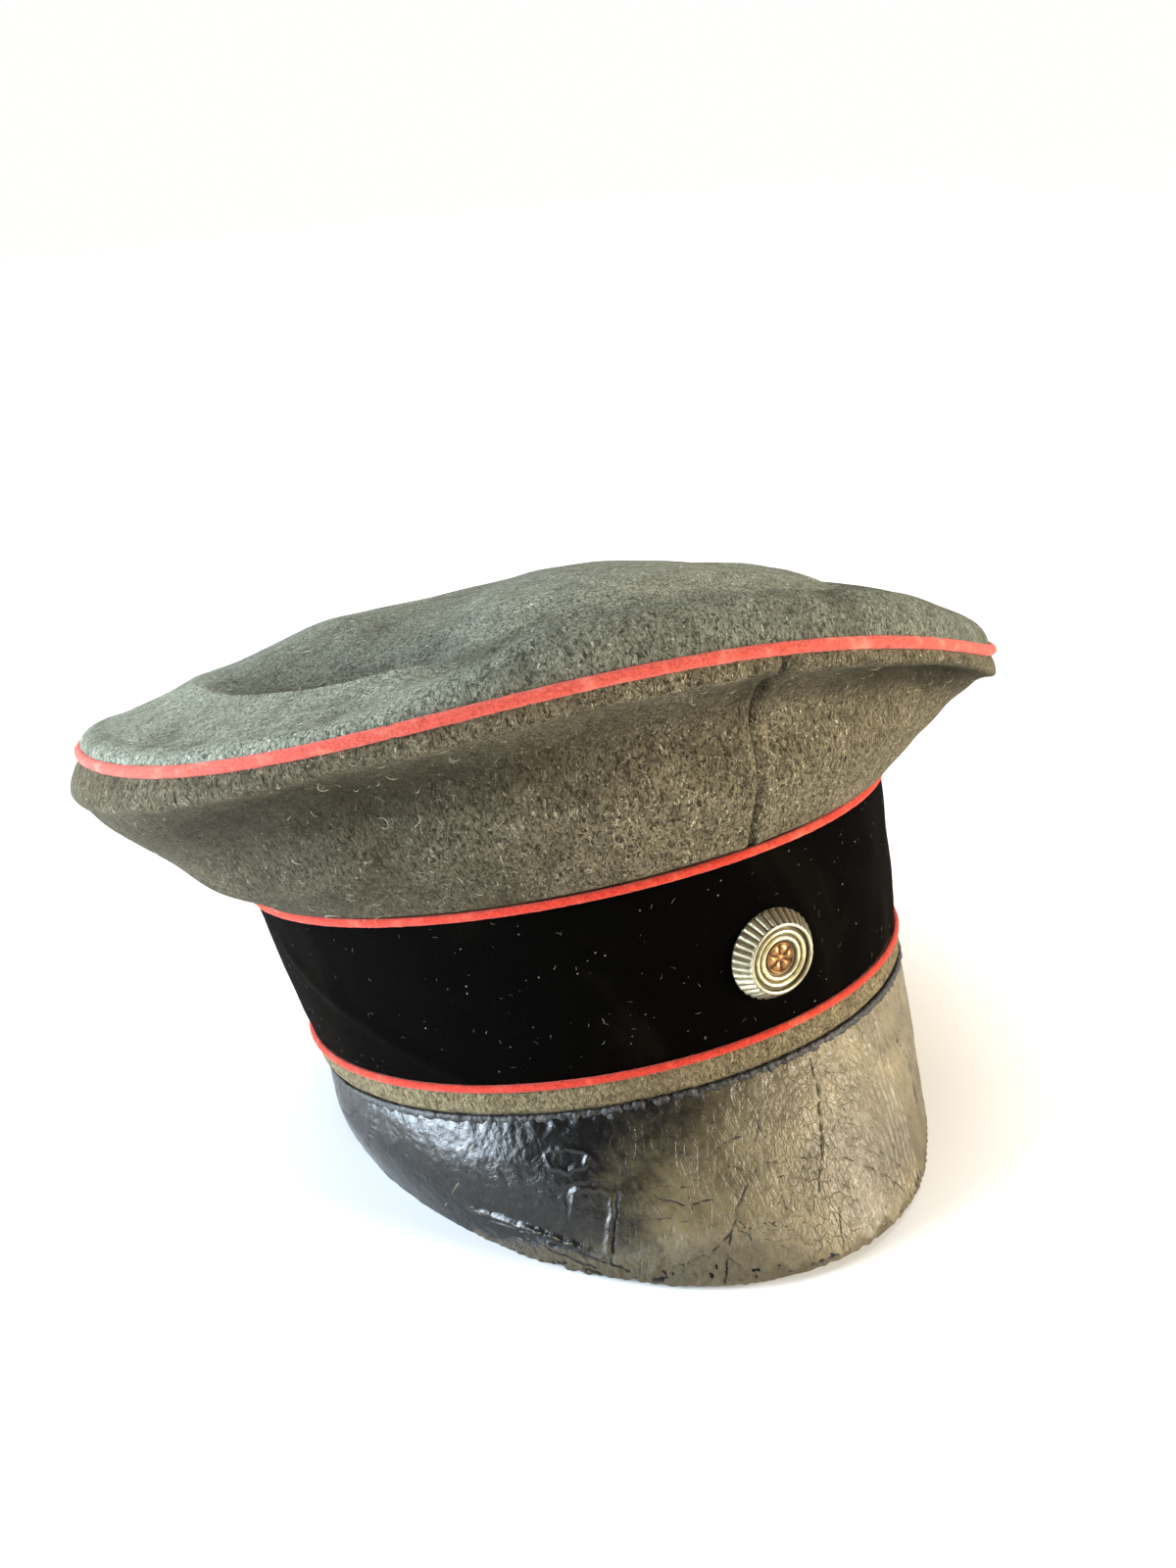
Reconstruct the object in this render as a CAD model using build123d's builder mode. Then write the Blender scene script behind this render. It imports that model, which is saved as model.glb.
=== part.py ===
"""Military peaked cap: cloth crown on a wire hoop, velvet band, leather visor and a turning cockade.

Frame: +Z up, -Y to the front (the visor and cockade), +X to the wearer's left.
The origin is the centre of the head opening, in the plane of the band's lower edge.
All sizes are in millimetres.
"""

import math
import os

from build123d import *

# ---- driving dimensions -------------------------------------------------------------------

# Band: half-widths across (x) and along (y) of the opening, and of the upper seam.
OPENING_RX, OPENING_RY = 88.4, 95.4
BAND_TOP_RX, BAND_TOP_RY, BAND_TOP_Z = 92.9, 105.6, 54.5
BAND_TOP_SHIFT = (-3.0, 2.5)  # the soft band leans back and a little to the wearer's right
BAND_TOP_PITCH = -1.9  # degrees about X, so the front stands higher than the back
LOW_SEAM_Z = 8.0

# Crown seam, where the top panel meets the side panels.
CROWN_RX, CROWN_RY, CROWN_Z = 131.5, 126.8, 97.0
CROWN_PITCH, CROWN_ROLL = -1.8, 5.6  # degrees: the crown has slumped to the wearer's left
CROWN_BULGE = 1.0

# Cloth, board and leather. A crown wall leans outwards, so it is measured level.
GAP = 0.1  # between layers that lie on each other
VELVET, STIFFENER = 1.2, 1.2
SIDE_CLOTH, SIDE_CANVAS, SIDE_LINING = 2.0, 0.9, 0.7
TOP_CLOTH, TOP_CANVAS, TOP_LINING = 1.6, 0.8, 0.6
LINING_INSETS = (3.0, 5.0, 6.2, 7.5)  # inside the band, at its top, half way up the crown, at its seam
CROWN_PIPING_R, BAND_PIPING_R = 1.6, 1.15

# Rim of the crown: the top panel rolls over a wadding ring on a spring-wire hoop.
HOOP_R, HOOP_INSET, HOOP_RISE = 1.0, 10.0, 2.2
WADDING_R, WADDING_BORE_R = 3.0, 1.75
FERRULE_LENGTH, FERRULE_R = 20.0, 1.65
STAY_WIDTH, STAY_THICK, STAY_INSETS = 12.0, 0.8, (3.7, 4.4)

# Sweatband and sweat shield.
SWEAT_RX, SWEAT_RY, SWEAT_LEATHER = 85.2, 92.5, 1.1
SWEAT_LOW_Z, SWEAT_TOP_Z, SWEAT_FLARE = 2.0, 42.0, 1.0
REED_R = 0.8
STITCH_COUNT, STITCH_LENGTH, STITCH_R = 60, 4.5, 0.25
TAB_WIDTH, TAB_HEIGHT, TAB_THICK = 14.0, 26.0, 0.9
SHIELD_SIDE, SHIELD_THICK = 110.0, 0.3

# Visor: a steep shell round the front half of the band.
VISOR_LOW_RX, VISOR_LOW_RY, VISOR_LOW_Z, VISOR_LOW_SHIFT = 84.0, 130.0, -53.0, 8.0
VISOR_TOP_Z = -0.2
VISOR_LEATHER, VISOR_CORE, VISOR_LINING = 1.1, 1.1, 0.7
VISOR_MARGIN_INSET, VISOR_MARGIN = 2.6, 0.5  # the sewing margin, inside the stiffener
MARGIN_LOW_Z, MARGIN_TOP_Z = -1.6, 7.6
VISOR_END_Y = 9.0

# Cockade: heights are from the velvet's face, outwards along its axis.
COCKADE_Z = 30.0
COCKADE_R, FACE_SEAT_R, FACE_R, CENTRE_R = 12.0, 9.2, 8.5, 4.1
COCKADE_FOOT, COCKADE_HEIGHT = 0.35, 5.2
FACE_LOW, FACE_THICK = 3.2, 1.0
FLUTES, FLUTE_R = 32, 0.55
RING_RADII, RING_R = (5.3, 7.0), 0.5
PRONG_R, PRONG_HOLE_R, PRONG_SLIT = 2.0, 2.06, 0.1
PRONG_REACH, PRONG_WIDTH, PRONG_THICK = 6.5, 3.0, 0.8
WASHER_R, WASHER_THICK, WASHER_CLEAR = 5.0, 0.4, 0.5

# ---- stations and shared shapes -----------------------------------------------------------


def band_station(height):
    """Plane and half-widths of the band's face at a height over the opening."""
    share = height / BAND_TOP_Z
    centre = (share * BAND_TOP_SHIFT[0], share * BAND_TOP_SHIFT[1], height)
    plane = Plane(centre).rotated((share * BAND_TOP_PITCH, 0, 0))
    rx = OPENING_RX + share * (BAND_TOP_RX - OPENING_RX)
    ry = OPENING_RY + share * (BAND_TOP_RY - OPENING_RY)
    return plane, rx, ry


def crown_plane(rise=0.0):
    """The crown seam's plane, lifted by rise along its normal."""
    return Plane((0, 0, CROWN_Z)).rotated((CROWN_PITCH, CROWN_ROLL, 0)).offset(rise)


def side_stations(foot_rise, head_rise):
    """Stations of the crown's side, from the band's upper seam to the crown seam."""
    foot_plane, foot_rx, foot_ry = band_station(BAND_TOP_Z)
    waist_centre = (BAND_TOP_SHIFT[0] / 2, BAND_TOP_SHIFT[1] / 2, (BAND_TOP_Z + CROWN_Z) / 2)
    waist_plane = Plane(waist_centre).rotated(
        ((BAND_TOP_PITCH + CROWN_PITCH) / 2, CROWN_ROLL / 2, 0)
    )
    waist_rx = (foot_rx + CROWN_RX) / 2 + CROWN_BULGE
    waist_ry = (foot_ry + CROWN_RY) / 2 + CROWN_BULGE
    return [
        (foot_plane.offset(foot_rise), foot_rx, foot_ry),
        (waist_plane, waist_rx, waist_ry),
        (crown_plane(head_rise), CROWN_RX, CROWN_RY),
    ]


def lofted_wall(stations, inset, wall):
    """A closed wall through elliptical stations, inset from them and wall thick inwards."""
    with BuildPart() as ring:
        for depth, mode in ((inset, Mode.ADD), (inset + wall, Mode.SUBTRACT)):
            for plane, rx, ry in stations:
                with BuildSketch(plane):
                    Ellipse(rx - depth, ry - depth)
            loft(mode=mode)
    return ring


def cord_on_ellipse(plane, rx, ry, radius, bore=0.0, start=0.0, turn=360.0):
    """A round cord that follows an ellipse, or part of it, hollow where bore is given."""
    with BuildPart() as cord:
        with BuildLine(plane) as route:
            EllipticalCenterArc((0, 0), rx, ry, start, arc_size=turn)
        with BuildSketch(Plane(route.line @ 0, z_dir=route.line % 0)):
            Circle(radius)
            if bore:
                Circle(bore, mode=Mode.SUBTRACT)
        sweep()
    return cord


def save(name, finished):
    """Labels a finished piece and writes its STEP file."""
    finished.part.label = name
    export_step(finished.part, f"parts/{name}.step")


os.makedirs("parts", exist_ok=True)

# ---- band ---------------------------------------------------------------------------------

seam_clear = BAND_PIPING_R + GAP
velvet_stations = [band_station(LOW_SEAM_Z + seam_clear), band_station(BAND_TOP_Z - seam_clear)]
stiffener_stations = [band_station(0), band_station(BAND_TOP_Z - GAP)]
welt_stations = [band_station(0.2), band_station(LOW_SEAM_Z - seam_clear)]

# The cockade's plane is tangent to the velvet, half way across the front.
head_y = BAND_TOP_SHIFT[1] - BAND_TOP_RY
head_z = BAND_TOP_Z - BAND_TOP_RY * math.sin(math.radians(BAND_TOP_PITCH))
lean = math.atan2(-OPENING_RY - head_y, head_z)
cockade_y = -OPENING_RY - COCKADE_Z * math.tan(lean)
cockade_plane = Plane(
    (0, cockade_y, COCKADE_Z), x_dir=(1, 0, 0), z_dir=(0, -math.cos(lean), -math.sin(lean))
)
print(f"cockade axis through (0, {cockade_y:.3f}, {COCKADE_Z}), direction {cockade_plane.z_dir}")


def pierced(band_layer):
    """A layer of the band with the cockade's prong hole cut through it."""
    with BuildPart() as layer:
        add(band_layer.part)
        with Locations(cockade_plane):
            Cylinder(PRONG_HOLE_R, 4 * (VELVET + STIFFENER), mode=Mode.SUBTRACT)
    return layer


save("band_velvet", pierced(lofted_wall(velvet_stations, 0, VELVET)))
save("band_stiffener", pierced(lofted_wall(stiffener_stations, VELVET + GAP, STIFFENER)))
save("band_welt", lofted_wall(welt_stations, 0, VELVET))
save("band_lower_piping", cord_on_ellipse(*band_station(LOW_SEAM_Z), BAND_PIPING_R))
save("band_upper_piping", cord_on_ellipse(*band_station(BAND_TOP_Z), BAND_PIPING_R))

# ---- crown side ---------------------------------------------------------------------------

panel_stations = side_stations(BAND_PIPING_R + GAP, -CROWN_PIPING_R - GAP)
for name, kept in (("crown_side_panel_left", Keep.TOP), ("crown_side_panel_right", Keep.BOTTOM)):
    whole_side = lofted_wall(panel_stations, 0, SIDE_CLOTH)
    with BuildPart() as side_panel:
        add(whole_side.part)
        split(bisect_by=Plane.YZ, keep=kept)
    save(name, side_panel)

save("crown_side_interlining", lofted_wall(panel_stations, SIDE_CLOTH + GAP, SIDE_CANVAS))

# The lining hangs from the crown seam to behind the sweatband's top edge.
lining_faces = [band_station(SWEAT_TOP_Z - 4), *side_stations(0, -CROWN_PIPING_R - 1)]
lining_stations = [
    (plane, rx - inset, ry - inset)
    for (plane, rx, ry), inset in zip(lining_faces, LINING_INSETS)
]
save("crown_side_lining", lofted_wall(lining_stations, 0, SIDE_LINING))

# ---- crown top ----------------------------------------------------------------------------

# Level inset from the seam and height over its plane: rim roll, shallow valley, puffed middle.
TOP_PROFILE = ((1.5, 5.5), (5.0, 8.4), (11.0, 9.5), (24.0, 9.0), (45.0, 13.0), (70.0, 19.0), (105.0, 24.0))


def top_shell(depth, wall):
    """A shell under the crown's top surface, depth below it and wall thick."""
    with BuildPart() as top:
        for down, mode in ((depth, Mode.ADD), (depth + wall, Mode.SUBTRACT)):
            with BuildSketch(crown_plane(CROWN_PIPING_R + GAP)):
                Ellipse(CROWN_RX - down, CROWN_RY - down)
            for step_in, height in TOP_PROFILE:
                with BuildSketch(crown_plane(height - down)):
                    Ellipse(CROWN_RX - down - step_in, CROWN_RY - down - step_in)
            loft(ruled=True, mode=mode)
    return top


save("crown_top_panel", top_shell(0, TOP_CLOTH))
save("crown_top_interlining", top_shell(TOP_CLOTH + GAP, TOP_CANVAS))
save("crown_seam_piping", cord_on_ellipse(crown_plane(), CROWN_RX, CROWN_RY, CROWN_PIPING_R))

lining_rise = -CROWN_PIPING_R
with BuildPart() as top_lining:
    with BuildSketch(crown_plane(lining_rise)):
        Ellipse(CROWN_RX - LINING_INSETS[-1], CROWN_RY - LINING_INSETS[-1])
    extrude(amount=TOP_LINING)
save("crown_top_lining", top_lining)

with BuildPart() as sweat_shield:
    with BuildSketch(crown_plane(lining_rise - GAP)):
        RectangleRounded(SHIELD_SIDE, SHIELD_SIDE, 8, rotation=45)
    extrude(amount=-SHIELD_THICK)
save("lining_sweat_shield", sweat_shield)

# ---- hoop, wadding and front stay ---------------------------------------------------------

hoop_plane = crown_plane(HOOP_RISE)
hoop_rx, hoop_ry = CROWN_RX - HOOP_INSET, CROWN_RY - HOOP_INSET
save("crown_hoop_wire", cord_on_ellipse(hoop_plane, hoop_rx, hoop_ry, HOOP_R))
save("crown_rim_wadding", cord_on_ellipse(hoop_plane, hoop_rx, hoop_ry, WADDING_R, WADDING_BORE_R))

ferrule_turn = math.degrees(FERRULE_LENGTH / hoop_rx)
ferrule = cord_on_ellipse(
    hoop_plane, hoop_rx, hoop_ry, FERRULE_R, HOOP_R + 0.05, 90 - ferrule_turn / 2, ferrule_turn
)
save("crown_hoop_ferrule", ferrule)

stay_foot = (head_y + STAY_INSETS[0], head_z + 3.0)
crown_front_z = CROWN_Z - CROWN_RY * math.sin(math.radians(CROWN_PITCH))
stay_head = (STAY_INSETS[1] - CROWN_RY, crown_front_z - 3.0)
with BuildPart() as front_stay:
    with BuildSketch(Plane.YZ):
        with BuildLine():
            Line(stay_foot, stay_head)
            offset(amount=STAY_THICK / 2)
        make_face()
    extrude(amount=STAY_WIDTH / 2, both=True)
save("crown_front_stay", front_stay)

# ---- sweatband ----------------------------------------------------------------------------

sweat_top_centre = band_station(SWEAT_TOP_Z)[0].origin
sweat_stations = [
    (Plane.XY.offset(SWEAT_LOW_Z), SWEAT_RX, SWEAT_RY),
    (Plane(sweat_top_centre), SWEAT_RX + SWEAT_FLARE, SWEAT_RY + SWEAT_FLARE),
]
save("sweatband", lofted_wall(sweat_stations, 0, SWEAT_LEATHER))

reed_plane = Plane.XY.offset(SWEAT_LOW_Z - REED_R - GAP)
save("sweatband_reed", cord_on_ellipse(reed_plane, SWEAT_RX - 0.9, SWEAT_RY - 0.9, REED_R))

stitch_inset = SWEAT_LEATHER + STITCH_R + 3 * GAP
stitch_rx, stitch_ry = SWEAT_RX - stitch_inset, SWEAT_RY - stitch_inset
stitch_places = []
for number in range(STITCH_COUNT):
    turn = math.tau * (number + 0.5) / STITCH_COUNT
    spot = (stitch_rx * math.sin(turn), stitch_ry * math.cos(turn), SWEAT_LOW_Z + 4.0)
    along = (stitch_rx * math.cos(turn), -stitch_ry * math.sin(turn), 0)
    stitch_places.append(Plane(spot, z_dir=along))
with BuildPart() as sweat_stitches:
    with Locations(*stitch_places):
        Cylinder(STITCH_R, STITCH_LENGTH)
save("sweatband_stitches", sweat_stitches)

tab_y = SWEAT_RY - SWEAT_LEATHER - 0.35
with BuildPart() as back_tab:
    with BuildSketch(Plane.XZ.offset(-tab_y)):
        with Locations((0, SWEAT_LOW_Z + 8 + TAB_HEIGHT / 2)):
            RectangleRounded(TAB_WIDTH, TAB_HEIGHT, 2)
    extrude(amount=TAB_THICK)
save("sweatband_back_tab", back_tab)

# ---- visor --------------------------------------------------------------------------------

visor_stations = [
    (Plane.XY, OPENING_RX, OPENING_RY),
    (Plane((0, VISOR_LOW_SHIFT, VISOR_LOW_Z)), VISOR_LOW_RX, VISOR_LOW_RY),
]


def visor_layer(inset, wall, raise_edge):
    """One layer of the visor: a leaning wall, cut to the visor's shape as seen from the side."""
    skirt = lofted_wall(visor_stations, inset, wall)
    with BuildPart() as layer:
        add(skirt.part)
        with BuildSketch(Plane.YZ):
            with BuildLine():
                edge = Spline(
                    (-124, -45.5 + raise_edge),
                    (-100, -44.0 + raise_edge),
                    (-60, -38.0 + raise_edge),
                    (-25, -29.0 + raise_edge),
                    (VISOR_END_Y - raise_edge, VISOR_TOP_Z),
                )
                Polyline(edge @ 1, (-124, VISOR_TOP_Z), edge @ 0)
            make_face()
        extrude(amount=VISOR_LOW_RY, both=True, mode=Mode.INTERSECT)
    return layer


core_inset = VISOR_LEATHER + GAP
lining_inset = core_inset + VISOR_CORE + GAP
save("visor_top_leather", visor_layer(0, VISOR_LEATHER, 0.0))
save("visor_core", visor_layer(core_inset, VISOR_CORE, 0.8))

# The underside leather turns in under the stiffener and up inside it, where it is sewn.
lining_wall = visor_layer(lining_inset, VISOR_LINING, 0.8)
margin_low = band_station(MARGIN_LOW_Z)
sewn_wall = lofted_wall([margin_low, band_station(MARGIN_TOP_Z)], VISOR_MARGIN_INSET, VISOR_MARGIN)
margin_rx, margin_ry = margin_low[1] - VISOR_MARGIN_INSET, margin_low[2] - VISOR_MARGIN_INSET
with BuildPart() as visor_underside:
    add(sewn_wall.part)
    with BuildSketch(Plane.XY.offset(MARGIN_LOW_Z)):
        Ellipse(OPENING_RX - lining_inset - 0.2, OPENING_RY - lining_inset)
        Ellipse(margin_rx - 0.2, margin_ry - 0.2, mode=Mode.SUBTRACT)
    extrude(amount=1.3)
    with BuildSketch(Plane.XY.offset(-5)):
        with Locations((0, -100)):
            Rectangle(240, 200)
    extrude(amount=20, mode=Mode.INTERSECT)
    add(lining_wall.part)
save("visor_underside", visor_underside)

# ---- cockade ------------------------------------------------------------------------------

# Everything is drawn upright about +Z, then placed on the cockade's plane.


def cockade_piece(name, upright):
    """Places a piece drawn about +Z on the cockade's axis, and saves it."""
    with BuildPart(mode=Mode.PRIVATE) as placed:
        add(upright.part.moved(cockade_plane.location))
    save(name, placed)


flank = 0.8  # the rim's height where its slope starts
rim_slope = math.degrees(math.atan2(COCKADE_HEIGHT - flank, COCKADE_R - FACE_SEAT_R))
flute_place = Location(
    ((COCKADE_R + FACE_SEAT_R) / 2 + 0.3, 0, (COCKADE_HEIGHT + flank) / 2 + 0.3),
    (0, rim_slope - 90, 0),
)
with BuildPart() as cockade_rim:
    with BuildSketch(Plane.XZ):
        with BuildLine():
            Polyline(
                (COCKADE_R - 0.8, COCKADE_FOOT),
                (COCKADE_R, COCKADE_FOOT),
                (COCKADE_R, flank),
                (FACE_SEAT_R, COCKADE_HEIGHT),
                (FACE_R + GAP, COCKADE_HEIGHT),
                (FACE_R + GAP, COCKADE_HEIGHT - 0.6),
                (COCKADE_R - 0.8, flank + 0.1),
                close=True,
            )
        make_face()
    revolve(axis=Axis.Z)
    with PolarLocations(0, FLUTES):
        with Locations(flute_place):
            Cylinder(FLUTE_R, 8, mode=Mode.SUBTRACT)
cockade_piece("cockade_rim", cockade_rim)

with BuildPart() as cockade_face:
    with BuildSketch(Plane.XY.offset(FACE_LOW)):
        Circle(FACE_R)
        Circle(CENTRE_R + GAP, mode=Mode.SUBTRACT)
    extrude(amount=FACE_THICK)
    with BuildSketch(Plane.XZ):
        with Locations(*[(radius, FACE_LOW + FACE_THICK) for radius in RING_RADII]):
            Circle(RING_R)
    revolve(axis=Axis.Z)
cockade_piece("cockade_face", cockade_face)

with BuildPart() as cockade_centre:
    with BuildSketch(Plane.XY.offset(FACE_LOW)):
        Circle(CENTRE_R)
    extrude(amount=0.5)
    with BuildSketch(Plane.XY.offset(FACE_LOW + 0.5)):
        with PolarLocations(CENTRE_R / 2, 6):
            Ellipse(1.2, 0.5)
    extrude(amount=0.3)
cockade_piece("cockade_centre", cockade_centre)

with BuildPart() as cockade_back_plate:
    with BuildSketch(Plane.XY.offset(COCKADE_FOOT)):
        Circle(COCKADE_R - 0.9)
    extrude(amount=0.6)
cockade_piece("cockade_back_plate", cockade_back_plate)

# Two half-round legs run through the band side by side, then bend apart flat behind it.
leg_bend = -(VELVET + GAP + STIFFENER + WASHER_CLEAR + WASHER_THICK + GAP)
with BuildPart() as cockade_prongs:
    with BuildSketch(Plane.XY.offset(leg_bend - PRONG_THICK)):
        Circle(PRONG_R)
    extrude(amount=COCKADE_FOOT - leg_bend + PRONG_THICK)
    with BuildSketch(Plane.XY.offset(leg_bend - PRONG_THICK)):
        SlotOverall(2 * PRONG_REACH, PRONG_WIDTH)
    extrude(amount=PRONG_THICK)
    with BuildSketch(Plane.XY.offset(-10)):
        Rectangle(PRONG_SLIT, 4 * PRONG_R)
    extrude(amount=20, mode=Mode.SUBTRACT)
cockade_piece("cockade_prongs", cockade_prongs)

with BuildPart() as cockade_washer:
    with BuildSketch(Plane.XY.offset(leg_bend + GAP)):
        Circle(WASHER_R)
        Circle(PRONG_R + 0.05, mode=Mode.SUBTRACT)
    extrude(amount=WASHER_THICK)
cockade_piece("cockade_washer", cockade_washer)
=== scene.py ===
# %% [markdown]
# # A soft peaked cap
# The cap is a stack of sewn ovals. A velvet band stands on the head opening, side panels flare
# from it to the crown seam, and the top panel puffs up inside a rolled rim. A steep leather visor
# hangs from the front and a turning cockade sits on the velvet.
#
# The measured frame is loaded first. Every piece below is drawn in its coordinates: +Z up, -Y to
# the front, +X to the wearer's left, with the origin in the middle of the head opening.

import math
import random

import bpy
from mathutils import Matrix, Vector, noise
from mathutils.kdtree import KDTree


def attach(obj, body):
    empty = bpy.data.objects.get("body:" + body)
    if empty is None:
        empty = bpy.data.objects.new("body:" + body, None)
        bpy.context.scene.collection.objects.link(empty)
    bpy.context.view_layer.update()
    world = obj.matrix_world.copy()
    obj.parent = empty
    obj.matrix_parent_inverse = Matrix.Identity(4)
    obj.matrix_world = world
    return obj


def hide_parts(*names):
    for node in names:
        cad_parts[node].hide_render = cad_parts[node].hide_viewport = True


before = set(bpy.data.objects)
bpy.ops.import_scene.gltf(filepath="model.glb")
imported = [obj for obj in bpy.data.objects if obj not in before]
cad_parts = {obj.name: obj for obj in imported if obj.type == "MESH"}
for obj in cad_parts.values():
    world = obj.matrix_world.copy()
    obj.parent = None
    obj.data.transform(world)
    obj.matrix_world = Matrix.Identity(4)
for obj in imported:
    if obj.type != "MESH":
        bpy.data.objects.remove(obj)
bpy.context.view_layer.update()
MM = 0.001

# %% [markdown]
# ## The camera
# The cap is seen from the wearer's right, a little above the band and slightly tilted, as by
# someone who leans over it. The place and angles are fixed numbers, so nothing else in the file
# depends on them.

# %% Camera
bpy.ops.object.select_all(action="DESELECT")
bpy.ops.object.camera_add(
    location=(-0.17832, -0.38472, 0.15582),
    rotation=[math.radians(angle) for angle in (77.15, 11.27, -28.78)],
)
camera = bpy.context.object
camera.data.lens = 32.62
camera.data.shift_x = -0.0059
bpy.context.scene.camera = camera

# %% [markdown]
# ## Measures and small tools
# All shapes are written in millimetres round the cap. `turn` is the angle from the front,
# positive towards the wearer's left. Three curves are enough to describe soft cloth:
# `ease` steps smoothly from 0 to 1, `window` also steps back, and `bump` is a rounded hill.

# %% Measures
OPENING = (88.4, 95.4)  # half-widths of the head opening, across and along
BAND_TOP = (92.9, 105.6)
BAND_TOP_Z, BAND_TOP_RISE = 54.5, 3.5  # the upper seam stands higher at the front
BAND_SHIFT = (-3.0, 2.5)
LOW_SEAM = 8.0 / BAND_TOP_Z
CROWN = (131.5, 126.8)
SEAM_Z = 94.9
SEAM_WAVES = ((1, 6.7, -12.9), (2, 1.0, -2.9), (3, 5.2, 0.0))  # order, cosine part, sine part


def ease(value, start, end):
    """Rises smoothly from 0 at start to 1 at end."""
    share = min(1.0, max(0.0, (value - start) / (end - start)))
    return share * share * (3 - 2 * share)


def window(value, start, full, fade, end):
    """Rises from 0 at start to 1 at full, and falls from fade back to 0 at end."""
    return ease(value, start, full) * (1 - ease(value, fade, end))


def bump(value, middle, width):
    """A rounded hill, 1 high at its middle."""
    return math.exp(-(((value - middle) / width) ** 2))


def wobble(turn, height, size, seed=0.0):
    """Soft unevenness of hand-sewn cloth, about -1 to 1, smooth right round the cap."""
    spot = Vector((math.sin(turn) * 100 / size, math.cos(turn) * 100 / size, height / size + seed))
    return noise.noise(spot)


def face_out(turn, upwards):
    """The direction out of a face that runs upwards along a line, square to that line."""
    outward = Vector((math.cos(turn), math.sin(turn), 0)).cross(upwards).normalized()
    if outward.dot(Vector((math.sin(turn), -math.cos(turn), 0))) < 0:
        outward.negate()
    return outward


# %% Where the band and the crown seam run
def band_point(turn, share, out=0.0):
    """A point on the band's face, share 0 at the opening and 1 at the upper seam."""
    half_x = OPENING[0] + share * (BAND_TOP[0] - OPENING[0]) + out
    half_y = OPENING[1] + share * (BAND_TOP[1] - OPENING[1]) + out
    return Vector((
        share * BAND_SHIFT[0] + half_x * math.sin(turn),
        share * BAND_SHIFT[1] - half_y * math.cos(turn),
        share * (BAND_TOP_Z + BAND_TOP_RISE * math.cos(turn)),
    ))


def crown_seam(turn, out=0.0, up=0.0):
    """A point on the seam between the top panel and the side panels."""
    height = SEAM_Z + up
    for order, cosine, sine in SEAM_WAVES:
        height += cosine * math.cos(order * turn) + sine * math.sin(order * turn)
    height += 1.8 * ease(abs(turn), math.radians(60), math.pi)
    height += 5.1 * ease(turn, math.radians(35), math.radians(90)) * (1 - ease(turn, math.pi / 2, math.pi))
    return Vector(((CROWN[0] + out) * math.sin(turn), -(CROWN[1] + out) * math.cos(turn), height))


# %% [markdown]
# ## Cloth from a grid
# Cloth is cut flat and then wrapped, so each cloth piece starts as a flat grid whose points are
# moved onto the cap: along the grid is round the cap, across it is up the panel. The grid brings
# its own UV map, which stays with the cloth. Solidify then gives the true thickness.

# %% Grid helpers
def only(piece):
    """Makes a piece the only one selected."""
    bpy.ops.object.select_all(action="DESELECT")
    piece.select_set(True)
    bpy.context.view_layer.objects.active = piece


def mesh_work(piece, *steps):
    """Runs each step in edit mode with the whole mesh selected."""
    only(piece)
    bpy.ops.object.mode_set(mode="EDIT")
    for step in steps:
        bpy.ops.mesh.select_all(action="SELECT")
        step()
    bpy.ops.object.mode_set(mode="OBJECT")


def wrapped(name, columns, rows, place, closed=False, painted=None, capped=False):
    """A grid whose point (across, up), each 0 to 1, is moved to place(across, up) in mm.

    Numbers that place() appends to the lists in painted become the mesh's own attributes.
    A closed grid has its meeting edges joined, and a capped one its open ends filled too."""
    bpy.ops.object.select_all(action="DESELECT")
    bpy.ops.mesh.primitive_grid_add(x_subdivisions=columns, y_subdivisions=rows, size=2)
    piece = bpy.context.object
    piece.name = name
    for vertex in piece.data.vertices:
        vertex.co = place((vertex.co.x + 1) / 2, (vertex.co.y + 1) / 2) * MM
    for attribute, numbers in (painted or {}).items():
        layer = piece.data.attributes.new(attribute, "FLOAT", "POINT")
        layer.data.foreach_set("value", numbers)
    if closed:
        mesh_work(piece, lambda: bpy.ops.mesh.remove_doubles(threshold=1e-6))
    if capped:
        mesh_work(piece, lambda: bpy.ops.mesh.fill_holes(sides=0),
                  lambda: bpy.ops.mesh.normals_make_consistent(inside=False))
    bpy.ops.object.shade_smooth()
    return piece


def thicken(piece, thickness):
    """Gives a piece its thickness inwards, in mm."""
    only(piece)
    solid = piece.modifiers.new("thickness", "SOLIDIFY")
    solid.thickness = thickness * MM
    solid.offset = -1
    bpy.ops.object.modifier_apply(modifier=solid.name)
    bpy.ops.object.shade_smooth_by_angle(angle=math.radians(50))
    return piece


def round_turn(across):
    """Turn angle for a grid that runs right round, with its join at the back."""
    return (across - 0.5) * math.tau


def across_path(path, turn):
    """The directions outwards and upwards from a path at a turn."""
    ahead = (path(turn + 0.004) - path(turn - 0.004)).normalized()
    outward = ahead.cross(Vector((0, 0, 1))).normalized()
    return outward, outward.cross(ahead).normalized()


def cord_round(name, path, radius, columns, sides, shape=None):
    """A closed cord of a given radius along path(turn), both in mm."""
    def place(across, up):
        turn = round_turn(across)
        outward, upward = across_path(path, turn)
        angle = -up * math.tau
        size = radius * (shape(turn, angle) if shape else 1.0)
        return path(turn) + (outward * math.cos(angle) - upward * math.sin(angle)) * size
    return wrapped(name, columns, sides, place, closed=True)


# %% [markdown]
# ## Finishes
# A finish is a small shader graph. Writing the maths as Python expressions keeps it readable, so
# one small class wraps a node socket and overloads the operators. `Finish` makes the material,
# and its `node` method adds any node.

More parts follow.
